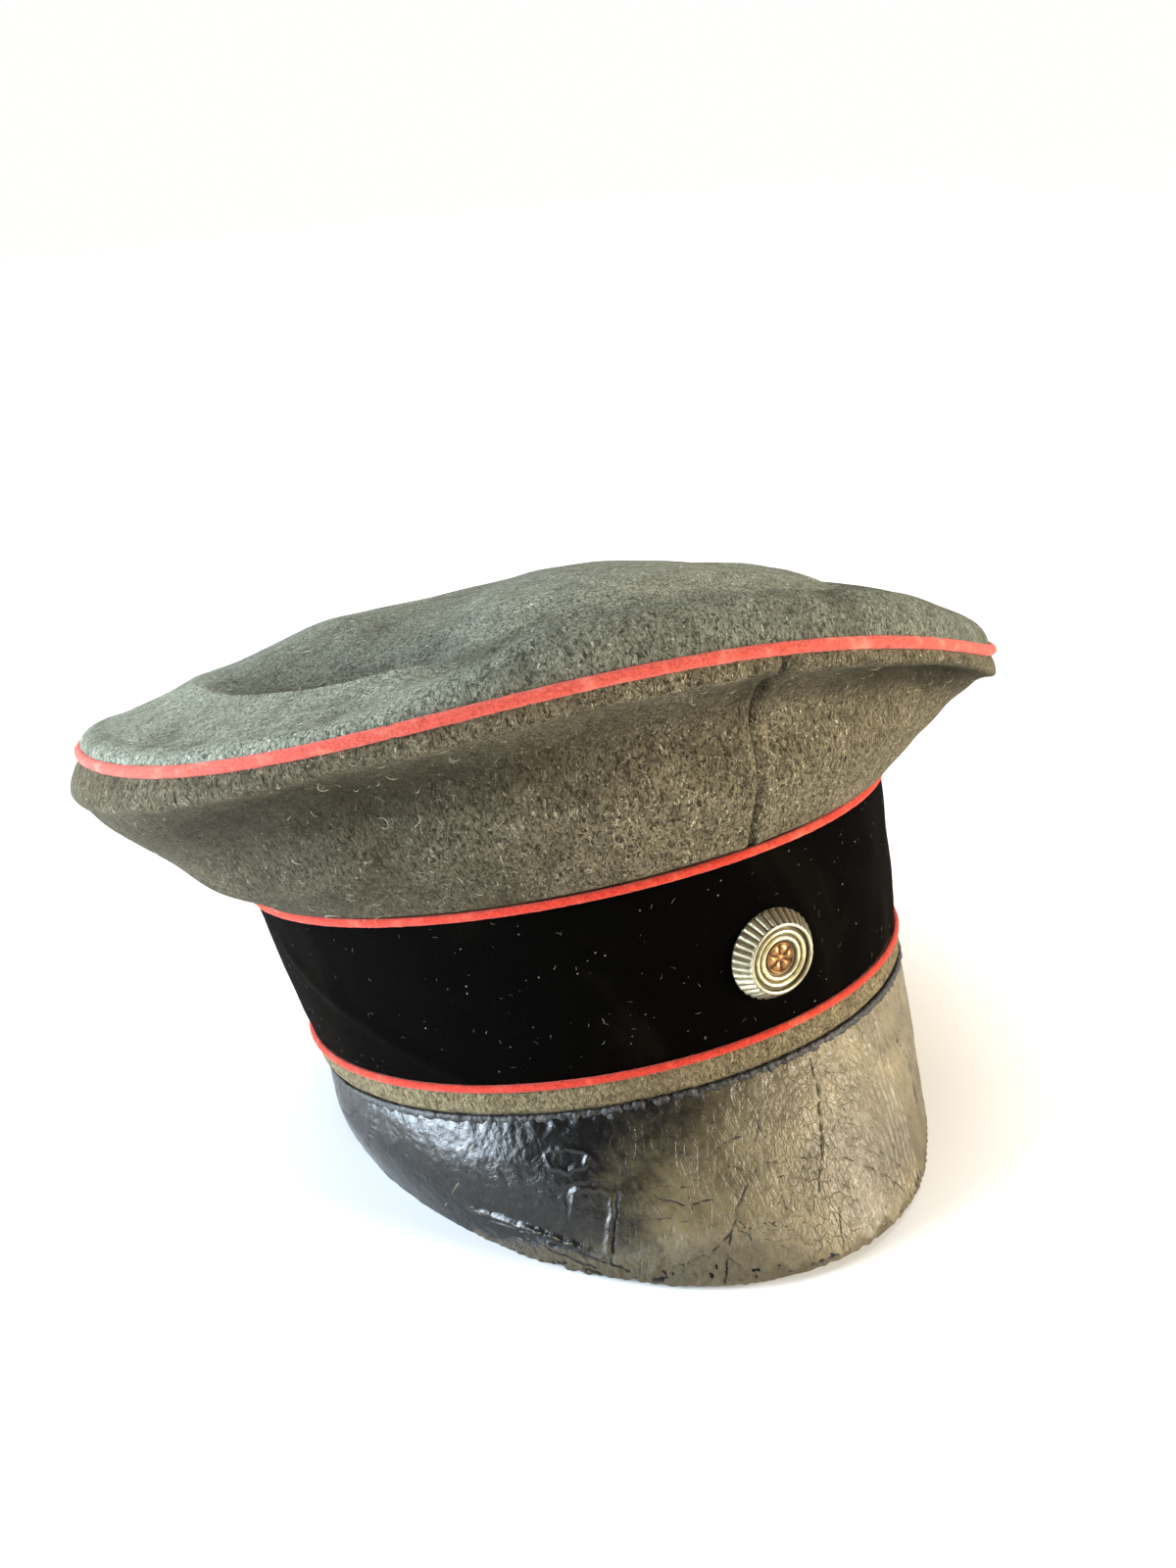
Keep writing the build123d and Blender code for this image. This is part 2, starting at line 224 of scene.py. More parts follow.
# %% Shader helpers
class Wire:
    """A number, colour or vector that comes out of a node."""

    def __init__(self, tree, socket):
        self.tree, self.socket = tree, socket

    def math(self, operation, *others, flip=False):
        node = self.tree.nodes.new("ShaderNodeMath")
        node.operation = operation
        values = [self, *others]
        for entry, value in zip(node.inputs, reversed(values) if flip else values):
            plug(self.tree, entry, value)
        return Wire(self.tree, node.outputs[0])

    def __add__(self, other): return self.math("ADD", other)
    def __sub__(self, other): return self.math("SUBTRACT", other)
    def __rsub__(self, other): return self.math("SUBTRACT", other, flip=True)
    def __mul__(self, other): return self.math("MULTIPLY", other)
    __radd__, __rmul__ = __add__, __mul__


def plug(tree, entry, value):
    """Links a wire to a socket, or sets the socket's value."""
    if isinstance(value, Wire):
        tree.links.new(value.socket, entry)
    elif isinstance(value, tuple) and len(value) == 3 and entry.type == "RGBA":
        entry.default_value = (*value, 1.0)
    else:
        entry.default_value = value


def shade(red, green, blue):
    """A screen colour, 0 to 255, as the linear colour a shader works in."""
    return tuple((level / 255) ** 2.2 for level in (red, green, blue))


class Finish:
    """A material with one Principled shader, and the helpers that feed it."""

    def __init__(self, name, **fixed):
        self.material = bpy.data.materials.new(name)
        self.material.use_nodes = True
        self.tree = self.material.node_tree
        self.skin = next(n for n in self.tree.nodes if n.type == "BSDF_PRINCIPLED")
        self.place = self.node("ShaderNodeTexCoord", out="Object")
        for socket, value in fixed.items():
            self.set(socket.replace("_", " "), value)

    def node(self, kind, settings=None, out=0, **values):
        """Adds a node: its settings first, then the values or links of its sockets."""
        node = self.tree.nodes.new(kind)
        for name, value in (settings or {}).items():
            setattr(node, name, value)
        for name, value in values.items():
            entries = [entry for entry in node.inputs if entry.enabled or entry.type == "VECTOR"]
            title, _, number = name.partition("_00")
            same = [entry for entry in entries if entry.name == title.replace("_", " ")]
            plug(self.tree, same[int(number or 0)], value)
        return Wire(self.tree, node.outputs[out])

    def set(self, socket, value):
        """Feeds one socket of the Principled shader."""
        plug(self.tree, self.skin.inputs[socket], value)

    def grain(self, scale, detail=2.0, roughness=0.6, distortion=0.0, where=None):
        """Cloudy noise of about 1/scale metres."""
        return self.node(
            "ShaderNodeTexNoise", Vector=where or self.place, Scale=scale, Detail=detail,
            Roughness=roughness, Distortion=distortion,
        )

    def cells(self, scale, feature="F1", where=None):
        """Distance field of random cells of about 1/scale metres."""
        return self.node(
            "ShaderNodeTexVoronoi", {"feature": feature}, out="Distance",
            Vector=where or self.place, Scale=scale,
        )

    def step(self, value, low, high):
        """0 below low, 1 above high, smooth between."""
        return self.node(
            "ShaderNodeMapRange", {"interpolation_type": "SMOOTHSTEP"}, Value=value,
            From_Min=low, From_Max=high,
        )

    def blend(self, share, first, second):
        """A colour that goes from first to second as share goes from 0 to 1."""
        node = self.tree.nodes.new("ShaderNodeMix")
        node.data_type = "RGBA"
        for entry, value in ((0, share), (6, first), (7, second)):
            plug(self.tree, node.inputs[entry], value)
        return Wire(self.tree, node.outputs[2])

    def stretched(self, scale):
        """Object coordinates drawn out along the axes."""
        return self.node("ShaderNodeMapping", Vector=self.place, Scale=scale)

    def painted(self, name):
        """A number painted on the mesh."""
        return self.node("ShaderNodeAttribute", {"attribute_name": name}, out="Fac")

    def two_tone(self, share, first, second, height=None, depth=0.0):
        """A colour from first to second as share goes from 0 to 1, and relief from a height."""
        self.set("Base Color", self.blend(share, shade(*first), shade(*second)))
        if height:
            self.set("Normal", self.relief(height, depth))

    def relief(self, height, depth, under=None):
        """Adds relief, depth in mm, and returns the new normal."""
        values = {"Height": height, "Strength": 1.0, "Distance": depth * MM}
        if under:
            values["Normal"] = under
        return self.node("ShaderNodeBump", **values)

    def cover(self, *pieces):
        """Makes this the only finish of each piece."""
        for piece in pieces:
            piece.data.materials.clear()
            piece.data.materials.append(self.material)


# %% Finishing a piece
def fitted(piece, finish, slot, *nodes, body="cap"):
    """Puts a finish on a piece, hides the carried-over parts it stands for, and fixes it to its body. The
    slot is not used.
    """
    finish.cover(piece)
    if nodes:
        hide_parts(*nodes)
    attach(piece, body)
    print(piece.name, len(piece.data.polygons), "faces")
    return piece


# %% [markdown]
# ## Wool melton
# Melton is woven, then shrunk and brushed until the weave is gone. What shows is a felt of short
# fibres, spun from light and dark wool together. So the finish has three layers: fibre flecks
# under a millimetre long, felted clouds of a centimetre, and soiling over the whole cap.
# Over them lies painted shade, from an attribute that the side and top pieces carry.

# %% Wool finish
def wool(name, dark, middle, light, soil_and_shade=0.3):
    """Melton of three shades; the last number is the share of brown dirt over it, and a painted attribute
    adds painted shade.
    """
    cloth = Finish(name, Roughness=0.95, Sheen_Weight=0.08, Sheen_Roughness=0.5)
    cloth.set("Specular IOR Level", 0.08)
    cloth.set("Sheen Tint", shade(190, 184, 160))
    drift = cloth.node("ShaderNodeTexNoise", out="Color", Vector=cloth.place, Scale=300.0, Detail=1.0)
    bent = cloth.node("ShaderNodeVectorMath", {"operation": "SCALE"}, Vector=drift, Scale=0.0016)
    bent = cloth.node("ShaderNodeVectorMath", {"operation": "ADD"}, Vector=bent, Vector_001=cloth.place)
    combed = cloth.node("ShaderNodeMapping", Vector=bent, Scale=(1.0, 1.0, 0.5))
    fibre = cloth.grain(1400, 3, 0.75, 0.6, where=combed)
    fleck = cloth.step(cloth.grain(1150, 3, 0.8, 1.4, where=combed), 0.53, 0.66)
    pit = cloth.step(cloth.grain(850, 3, 0.75, 1.0, where=combed), 0.53, 0.68)
    felt = cloth.grain(140, 4, 0.65)
    ground = cloth.blend(cloth.step(fibre, 0.36, 0.60), dark, middle)
    heather = cloth.blend(fleck * 0.8, ground, light)
    heather = cloth.blend(pit * 0.6, heather, dark)
    clouds = cloth.blend(cloth.step(felt, 0.4, 0.72) * 0.4, heather, dark)
    dirt = cloth.step(cloth.grain(24, 4, 0.6), 0.5, 0.75) * soil_and_shade
    stained = cloth.blend(dirt, clouds, shade(62, 48, 30))
    # The painted attribute darkens the cloth to a dark olive brown: painted shade on the wearer's right, in
    # hollows and behind folds and rolls, with a little random soiling.
    cloth.set("Base Color", cloth.blend(cloth.painted("soil_and_shade"), stained, shade(28, 24, 15)))
    rough = cloth.relief(fibre * 0.7 + fleck * 0.6 - pit * 0.6, 0.5)
    cloth.set("Normal", cloth.relief(felt, 0.6, under=rough))
    return cloth


side_wool = wool("melton_side", shade(34, 31, 22), shade(112, 104, 84), shade(212, 202, 172))
# The top's melton is the side's cloth made paler and cooler: painted light on the top, which faces the
# light from above.
lit_top_wool = wool("melton_top_painted_light", shade(60, 62, 52), shade(142, 146, 130), shade(222, 224, 208))
welt_wool = wool("welt_cloth", shade(66, 58, 42), shade(128, 116, 90), shade(186, 172, 140), 0.1)

# %% [markdown]
# ## Crown side panels
# Two panels meet in a seam at the front and another at the back. Each flares from the band to the
# crown seam, and the cloth doesn't go straight: it rolls outwards just under the crown seam,
# hollows below that roll at the front, and sags into a full belly on the wearer's right. Canvas
# and a satin lining follow the same shape inside, so one function draws all three layers.

# %% Side panel surface
# Dents: degrees round, share up, size and depth in mm.
SIDE_DENTS = ((-1.5, 0.80, 7, 1.6), (2.5, 0.55, 6, 0.8), (-46, 0.62, 16, 1.0), (-70, 0.50, 14, 0.9))


def side_point(turn, rise, depth=0.0):
    """A point on the crown's side, rise 0 at the band and 1 at the crown seam, depth inside it."""
    foot, head = band_point(turn, 1), crown_seam(turn)
    chord = head - foot
    right = ease(-turn, math.radians(35), math.radians(105))
    left = ease(turn, math.radians(24), math.radians(62))
    full = 17.0 * right * rise * (1 - rise ** 8) + 8.5 * left * rise * (1 - rise ** 10)
    hollow = -7.0 * bump(rise, 0.64, 0.19) * (1 - right) * (1 - 0.9 * left)
    hollow -= 2.5 * bump(rise, 0.80, 0.07) * bump(turn, math.radians(30), math.radians(18))
    roll = 3.0 * bump(rise, 0.92, 0.06)
    belly = 3.0 * bump(rise, 0.28, 0.15) * 4 * right * (1 - right)
    soft = 1.0 * wobble(turn, rise * 60, 38) + 0.45 * wobble(turn, rise * 60, 14, 7)
    dents = 0.0
    for degrees, place, size, deep in SIDE_DENTS:
        away = math.hypot((turn - math.radians(degrees)) * 110, (rise - place) * 58)
        dents -= deep * bump(away, 0, size)
    ends = min(1.0, 12 * rise, 14 * (1 - rise))
    swell = full + roll + ends * (hollow + belly + soft + dents)
    return foot + chord * rise + face_out(turn, chord) * (swell - depth)


def side_shade_and_soil(turn, rise):
    """Painted shade on the side: darker on the wearer's right, where less light falls, and in the hollows
    under the roll; also a darker spot at the dent by the front seam, and small random patches.
    """
    degrees = math.degrees(turn)
    # Painted shade: the wearer's right side darker, a little less at the very top, and the hollow under the
    # roll and the hollow beside the front seam darker still.
    wear_and_shade = 0.52 * ease(-degrees, 0, 62) * (1 - 0.5 * bump(rise, 0.97, 0.09))
    hollow = 0.42 * bump(rise, 0.66, 0.16) * window(degrees, -95, -60, -14, 4)
    under_roll = 0.95 * bump(rise, 0.77, 0.16) * bump(degrees, 28, 30)
    spots = 0.3 * bump(math.hypot(degrees + 2, (rise - 0.80) * 30), 0, 4)
    patch = 0.12 * noise.noise(Vector((degrees / 8, rise * 6, 2)))
    return max(0.0, min(0.8, wear_and_shade + hollow + under_roll + spots + patch))


def side_layer(name, first, last, start, end, depth, thickness, columns=300, rows=90):
    """One layer of the crown's side between two turns, its edges turned in at the seams."""
    painted = {"soil_and_shade": []}

    def place(across, up):
        turn = first + (last - first) * across
        rise = start + (end - start) * up
        from_seam = min(across, 1 - across) * abs(last - first) * 105
        tuck = 1.2 * bump(from_seam, 0, 0.8) - 0.4 * bump(from_seam, 2.4, 1.3)
        tuck += 0.8 * bump(up, 1.0, 0.012) + 0.8 * bump(up, 0.0, 0.012)
        # Paints the side's shade attribute, which the melton turns into painted shade.
        painted["soil_and_shade"].append(side_shade_and_soil(turn, rise))
        return side_point(turn, rise, depth + tuck)
    return thicken(wrapped(name, columns, rows, place, painted=painted), thickness)


SEAM_GAP = math.radians(0.02)
panels = {
    "crown_side_right": (-math.pi + SEAM_GAP, -SEAM_GAP, "crown_side_panel_right"),
    "crown_side_left": (SEAM_GAP, math.pi - SEAM_GAP, "crown_side_panel_left"),
}
for name, (first, last, node) in panels.items():
    panel = side_layer(name, first, last, 0.020, 0.990, 0.0, 1.4)
    fitted(panel, side_wool, "melton_wool", node)

# %% [markdown]
# ## Crown top panel
# The top rolls over a hoop at its rim. At the front the roll is tight. On the wearer's right the
# cloth slumps into a broad slope with a fold behind it. Inside the rim the top dips, then puffs up
# in the middle.

# %% Top panel surface
CROWN_REACH = 129.0  # from the seam to the middle
DOME = (21.8, 91.5, 14.0, -10.0)  # rise, spread, place across and along
MIDDLE_Z, MIDDLE_ROLL = 98.7, 7.5  # height of the middle, and what the roll leaves there
# Dents: degrees round, mm in from the seam, size and depth.
TOP_DENTS = ((-74, 12, 6, 1.2), (-66, 9, 5, 0.9), (-29, 9, 6, 1.1), (-47, 14, 9, 0.8), (9, 6, 5, 0.9))


def top_point(turn, share, depth=0.0):
    """A point on the top panel, share 0 at the crown seam and 1 in the middle."""
    inward = CROWN_REACH * share
    seam = crown_seam(turn)
    slump = window(-turn, *map(math.radians, (22, 45, 125, 165)))
    fold = window(-turn, *map(math.radians, (22, 45, 56, 92)))
    proud = 3.4 * window(turn, -0.75, -0.4, 0.35, 0.75)
    tight = 1.7 + (8.8 + proud) * math.sqrt(1 - (max(0.0, 9 - inward) / 9) ** 2)
    tight -= (5 + proud) * ease(inward, 9, 27)
    slope = 1.7 + 3.8 * math.sqrt(1 - (max(0.0, 7 - inward) / 7) ** 2)
    slope += 7 * min(1.0, max(0.0, inward - 7) / 25)
    sharp = 10 * (1 - math.exp(-max(0.0, inward - 31.5) / 6))
    slope -= fold * sharp + (1 - fold) * 2 * ease(inward, 32, 60)
    x, y = seam.x * (1 - share), seam.y * (1 - share)
    rise, spread, across, along = DOME
    dome = rise * math.exp(-((x - across) ** 2 + (y - along) ** 2) / (2 * spread ** 2))
    low_side = window(-turn, 1.0, 1.5, 2.4, 3.0)
    high_side = window(turn, 0.1, 0.8, 2.0, 2.6)
    foot, shoulder = 15 + 12 * fold + 4 * low_side, 60 + 6 * fold + 16 * low_side - 12 * high_side
    dome *= ease(inward, foot, shoulder)
    roll = tight + (slope - tight) * slump
    roll += (MIDDLE_ROLL - roll) * ease(inward, 46, 104)
    height = MIDDLE_Z + (seam.z - MIDDLE_Z) * (1 - share) ** 1.2 + roll + dome
    fade = ease(inward, 2, 14)
    spot = Vector((x, y, 0)) / 40
    height += fade * (0.45 * noise.noise(spot) + 0.3 * noise.noise(spot * 2.7))
    for degrees, place, size, deep in TOP_DENTS:
        away = math.hypot((turn - math.radians(degrees)) * 120 * (1 - share), inward - place)
        height -= deep * bump(away, 0, size)
    return Vector((x, y, height - depth))


def top_shade_and_soil(turn, inward):
    """Painted shade on the top: darker on the roll's face over the front, in a band just behind the roll,
    and behind the fold on the wearer's right, where less light falls; darker in the dents; small random
    patches.
    """
    front = ease(turn, -0.74, -0.46)
    slumped = (1 - front) * (1 - ease(-turn, 1.1, 2.2))
    # Painted shade: the front roll's face and the band just behind it, and the slope just behind the fold
    # on the wearer's right, fading further in.
    soil_and_shade = 0.40 * front * (1 - ease(inward, 7, 15)) + 0.5 * front * bump(inward, 34, 10)
    soil_and_shade += 0.55 * slumped * ease(inward, 31, 35) * (1 - 0.75 * ease(inward, 42, 92))
    # Darker in the dents.
    for degrees, place, size, deep in TOP_DENTS:
        away = math.hypot((turn - math.radians(degrees)) * 118, inward - place)
        soil_and_shade += 0.34 * bump(away, 0, size * 0.7)
    return max(0.0, min(0.8, soil_and_shade + 0.08 * noise.noise(Vector((turn * 9, inward / 9, 4)))))


def top_layer(name, depth, thickness, edge=0.0, columns=400, rows=110):
    """A layer of the crown's top, from edge mm inside the seam to the middle."""
    painted = {"soil_and_shade": []}

    def place(across, up):
        turn, share = round_turn(across), edge / CROWN_REACH + (0.9995 - edge / CROWN_REACH) * up ** 1.7
        # Paints the top's shade attribute, which the melton turns into painted shade.
        painted["soil_and_shade"].append(top_shade_and_soil(turn, CROWN_REACH * share))
        return top_point(turn, share, depth)
    return thicken(wrapped(name, columns, rows, place, closed=True, painted=painted), thickness)


crown_top = fitted(top_layer("crown_top", 0.0, 1.4), lit_top_wool, "melton_wool", "crown_top_panel")

# %% [markdown]
# ## Inside the crown
# A crown keeps its shape by what is sewn inside it: canvas behind the wool, a sprung steel hoop in
# a roll of wadding round the rim, its ends in a brass ferrule, a steel stay up the front and a
# satin lining. They follow the outer shape at a set depth.

# %% Inner finishes
canvas = Finish("canvas", Roughness=0.9)
threads = canvas.node("ShaderNodeTexWave", {"wave_type": "BANDS", "bands_direction": "DIAGONAL"},
                      Vector=canvas.place, Scale=420.0, Distortion=2.0)
canvas.two_tone(threads, (150, 138, 110), (206, 194, 164), threads, 0.2)

satin = Finish("satin_lining", Roughness=0.36, Sheen_Weight=0.3)
rib = satin.grain(700, 2, 0.6, where=satin.stretched((0.25, 0.25, 1.0)))
marks = satin.step(satin.grain(35, 4, 0.6), 0.5, 0.72)
satin.two_tone(marks * 0.6, (150, 120, 72), (104, 78, 44), rib, 0.12)

cotton = Finish("cotton_wadding", Roughness=1.0)
tufts = cotton.grain(420, 4, 0.7)
cotton.two_tone(tufts, (188, 182, 166), (236, 232, 220), tufts, 0.6)

spring = Finish("spring_steel", Metallic=1.0, Roughness=0.35)
spots = spring.step(spring.grain(220, 4, 0.7), 0.52, 0.66)
spring.two_tone(spots, (148, 150, 156), (104, 74, 50))

brass = Finish("aged_brass", Metallic=1.0, Roughness=0.4)
tarnish = brass.step(brass.grain(260, 4, 0.7), 0.45, 0.7)
brass.two_tone(tarnish, (196, 160, 92), (112, 84, 48))


# %% Inner pieces
def hoop_path(turn):
    """Where the hoop runs: under the rolled rim, inside the wadding."""
    return top_point(turn, 9.5 / CROWN_REACH, 6.2)


HOOP_R, WADDING_R = 1.0, 3.0
FERRULE_TURN = math.radians(4.6)
fitted(cord_round("crown_hoop", hoop_path, HOOP_R, 360, 10), spring, "spring_steel",
       "crown_hoop_wire")


def ferrule_point(across, up):
    """A short sleeve over the hoop's ends at the back, closed by its crimped ends."""
    turn = math.pi + (across - 0.5) * 2 * FERRULE_TURN
    outward, upward = across_path(hoop_path, turn)
    angle = up * math.tau
    radius = 1.65 - 0.3 * bump(abs(across - 0.5), 0.3, 0.05) - 0.5 * bump(abs(across - 0.5), 0.5, 0.02)
    return hoop_path(turn) + (outward * math.cos(angle) + upward * math.sin(angle)) * radius


ferrule = wrapped("hoop_ferrule", 40, 16, ferrule_point, closed=True)
fitted(thicken(ferrule, 0.3), brass, "brass_ferrule", "crown_hoop_ferrule")

canvas_side = side_layer("crown_side_canvas", -math.pi, math.pi, 0.03, 0.90, 1.7, 0.6, 300, 30)
fitted(canvas_side, canvas, "canvas", "crown_side_interlining")
canvas_top = top_layer("crown_top_canvas", 1.7, 0.6, 8, 200, 40)
fitted(canvas_top, canvas, "canvas", "crown_top_interlining")
lining_side = side_layer("crown_side_lining_cloth", -math.pi, math.pi, 0.03, 0.86, 3.2, 0.5, 300, 30)
fitted(lining_side, satin, "satin_lining", "crown_side_lining")


def lining_top_point(across, up):
    share = 15 / CROWN_REACH + (0.9995 - 15 / CROWN_REACH) * up ** 1.4
    inward = share * CROWN_REACH
    return top_point(round_turn(across), share, 3.4 + 9 * bump(inward, 12, 14))


lining_top = thicken(wrapped("crown_top_lining_cloth", 200, 40, lining_top_point, closed=True), 0.5)
fitted(lining_top, satin, "satin_lining", "crown_top_lining")


def wadding_shape(turn, angle):
    """Loose cotton is a little lumpy."""
    return 1 + 0.08 * wobble(turn, 6 * math.sin(angle), 8, 11)


wadding = fitted(cord_round("rim_wadding", hoop_path, WADDING_R, 360, 14, wadding_shape), cotton,
                 "cotton_wadding", "crown_rim_wadding")

stay = thicken(wrapped("front_stay", 10, 40, lambda across, up: side_point(
    math.radians(7.0) * (across - 0.5), 0.08 + 0.76 * up, 2.5)), 0.6)
fitted(stay, spring, "spring_steel", "crown_front_stay")

# %% [markdown]
# ## Piping
# Each seam is finished with a cord of felted wool. It is soft, so its thickness changes a little
# along the seam, and the crown's cord has a butt join on the wearer's right.

# %% Piping finish
def felt_cord(name, deep, middle, pale):
    """Felt of three shades of red with grime in it."""
    cord = Finish(name, Roughness=0.9, Sheen_Weight=0.1, Sheen_Roughness=0.5)
    cord.set("Specular IOR Level", 0.2)
    fuzz = cord.grain(1700, 3, 0.7, 0.8)
    cloud = cord.grain(180, 3, 0.6)
    body = cord.blend(cord.step(fuzz, 0.3, 0.7), deep, middle)
    wear_and_shade = cord.step(cloud, 0.5, 0.75) * 0.5
    grime = cord.step(cord.grain(420, 3, 0.6), 0.62, 0.72) * 0.5
    cord.set("Base Color", cord.blend(grime, cord.blend(wear_and_shade, body, pale), shade(96, 46, 34)))
    cord.set("Normal", cord.relief(fuzz + cloud * 0.4, 0.35))
    return cord


coral = felt_cord("coral_felt", shade(154, 54, 44), shade(200, 88, 74), shade(212, 128, 110))
red = felt_cord("red_felt", shade(150, 36, 24), shade(202, 62, 42), shade(212, 100, 78))


# %% Piping pieces
def uneven(turn, angle):
    """Small changes of a cord's thickness."""
    return 1 + 0.07 * wobble(turn, 0, 2.2, 3) + 0.05 * wobble(turn, 2 * math.sin(angle), 0.8, 5)


def joined(turn, angle):
    """As uneven, with the notch where the crown cord's ends meet."""
    return uneven(turn, angle) * (1 - 0.3 * bump(turn, math.radians(-39), math.radians(0.25)))


def on_band(share):
    return lambda turn: band_point(turn, share, 0.3)


def on_crown(turn):
    return crown_seam(turn, 0.3, 0.3)


pipings = (
    ("crown_cord", on_crown, 1.55, joined, coral, "crown_seam_piping", "coral_piping"),
    ("band_cord_upper", on_band(1), 1.15, uneven, red, "band_upper_piping", "red_piping"),
    ("band_cord_lower", on_band(LOW_SEAM), 1.05, uneven, red, "band_lower_piping", "red_piping"),
)
for name, path, radius, shape, finish, node, slot in pipings:
    fitted(cord_round(name, path, radius, 900, 12, shape), finish, slot, node)

# %% [markdown]
# ## Velvet band
# Velvet drinks light: it is black except where the pile lies over and catches a sheen. It also
# holds every bit of lint.

# %% Velvet finish
velvet = Finish("black_velvet", Roughness=0.95, Sheen_Weight=0.03, Sheen_Roughness=0.3)
velvet.set("Specular IOR Level", 0.02)
velvet.set("Sheen Tint", shade(150, 128, 100))
nap = velvet.grain(1500, 2, 0.6)
lie = velvet.step(velvet.grain(30, 4, 0.6, 1.0, where=velvet.stretched((1.0, 1.0, 0.5))), 0.5, 0.75)
pile = velvet.blend(nap, shade(2, 2, 2), shade(12, 11, 9))
# Lighter brown streaks where the pile lies over: painted sheen in the base colour.
pile_with_painted_sheen = velvet.blend(lie * 0.45, pile, shade(24, 21, 17))
specks = 1 - velvet.step(velvet.cells(330), 0.05, 0.1)
here = velvet.step(velvet.grain(60, 2, 0.5), 0.52, 0.6)
velvet.set("Base Color", velvet.blend(specks * here * 0.6, pile_with_painted_sheen, shade(130, 126, 112)))
velvet.set("Normal", velvet.relief(nap + lie * 0.5, 0.25))


# %% Velvet and welt
def velvet_point(across, up):
    turn = round_turn(across)
    share = LOW_SEAM + 0.012 + (0.976 - LOW_SEAM) * up
    edge = 0.8 * (bump(up, 0, 0.02) + bump(up, 1, 0.02))
    soft = 0.4 + 0.6 * wobble(turn, up * 46, 30, 2) + 0.3 * wobble(turn, up * 46, 11, 9)
    crease = 0.9 * bump(up - 0.36 + 1.1 * (turn + 1.2), 0, 0.07) * window(-turn, 0.75, 0.95, 1.45, 1.6)
    return band_point(turn, share, soft * (1 - bump(up, 0, 0.1)) - edge + crease)


velvet_band = thicken(wrapped("velvet_band", 420, 56, velvet_point, closed=True), 1.1)
fitted(velvet_band, velvet, "black_velvet", "band_velvet")


def welt_point(across, up):
    turn = round_turn(across)
    share = (0.2 + 6.6 * up) / BAND_TOP_Z
    fold = 1.1 * bump(up, 0, 0.12) + 0.7 * bump(up, 1, 0.12)
    return band_point(turn, share, 0.6 - fold + 0.3 * wobble(turn, up * 5, 9, 4))


welt = thicken(wrapped("band_welt_cloth", 420, 14, welt_point, closed=True), 1.2)
fitted(welt, welt_wool, "welt_wool", "band_welt")

# %% [markdown]
# ## Visor
# The visor is three layers of leather and board, bent round the front of the band. Its black
# lacquer has aged: it still shines on the wearer's right, is rubbed brown in front, has cracked
# right through in places, and the lower edge is worn to the fibre. Cracks, the lifted flap and the
# blister are modelled in the mesh, and the same numbers are painted on it as attributes, so that
# the finish darkens just those places.

# %% Visor surface
VISOR_TURN = math.radians(96.9)
LOW_OVAL = (81.8, -5.8, 136.8, 15.0)  # half-width, shift across, half-length, shift along
LOW_Z = 53.0
VISOR_DROP, DROP_POWER, CORNER = 45.3, 2.06, 0.477


def visor_point(turn, down, depth=0.0, trim=0.0):
    """A point on the visor, down 0 at the band and 1 at its edge; trim shortens it, in mm."""
    top = band_point(turn, -0.004, 0.2)
    half_x, shift_x, half_y, shift_y = LOW_OVAL
    low = Vector((shift_x + half_x * math.sin(turn), shift_y - half_y * math.cos(turn), -LOW_Z))
    drop = max(0.0, 1 - (abs(turn) / VISOR_TURN) ** DROP_POWER) ** CORNER
    drop *= VISOR_DROP / LOW_Z * (1 + 0.038 * math.sin(turn))
    edge = top + (low - top) * drop
    length = max((edge - top).length, 0.5)
    reach = max(0.0, min(down, 1 - trim / length))
    bulge = 0.7 + 2.4 * ease(-turn, math.radians(8), math.radians(48))
    swell = bulge * math.sin(math.pi * reach ** 0.85) * ease(length, 5, 30)
    swell += 0.35 * wobble(turn, reach * 45, 22, 12) * ease(length, 5, 30) * ease(reach, 0, 0.2)
    return top + (edge - top) * reach + face_out(turn, top - low) * (swell - depth)


def visor_out(turn):
    """The direction out of the visor's face."""
    side = visor_point(turn + 0.01, 0.5) - visor_point(turn - 0.01, 0.5)
    slope = visor_point(turn, 0.2) - visor_point(turn, 0.8)
    return side.cross(slope).normalized()


# %% [markdown]
# Each mark is a short list of points, as (degrees round, share down). They are measured
# along the visor's face in millimetres, through a search tree, so that a crack keeps its width
# everywhere.

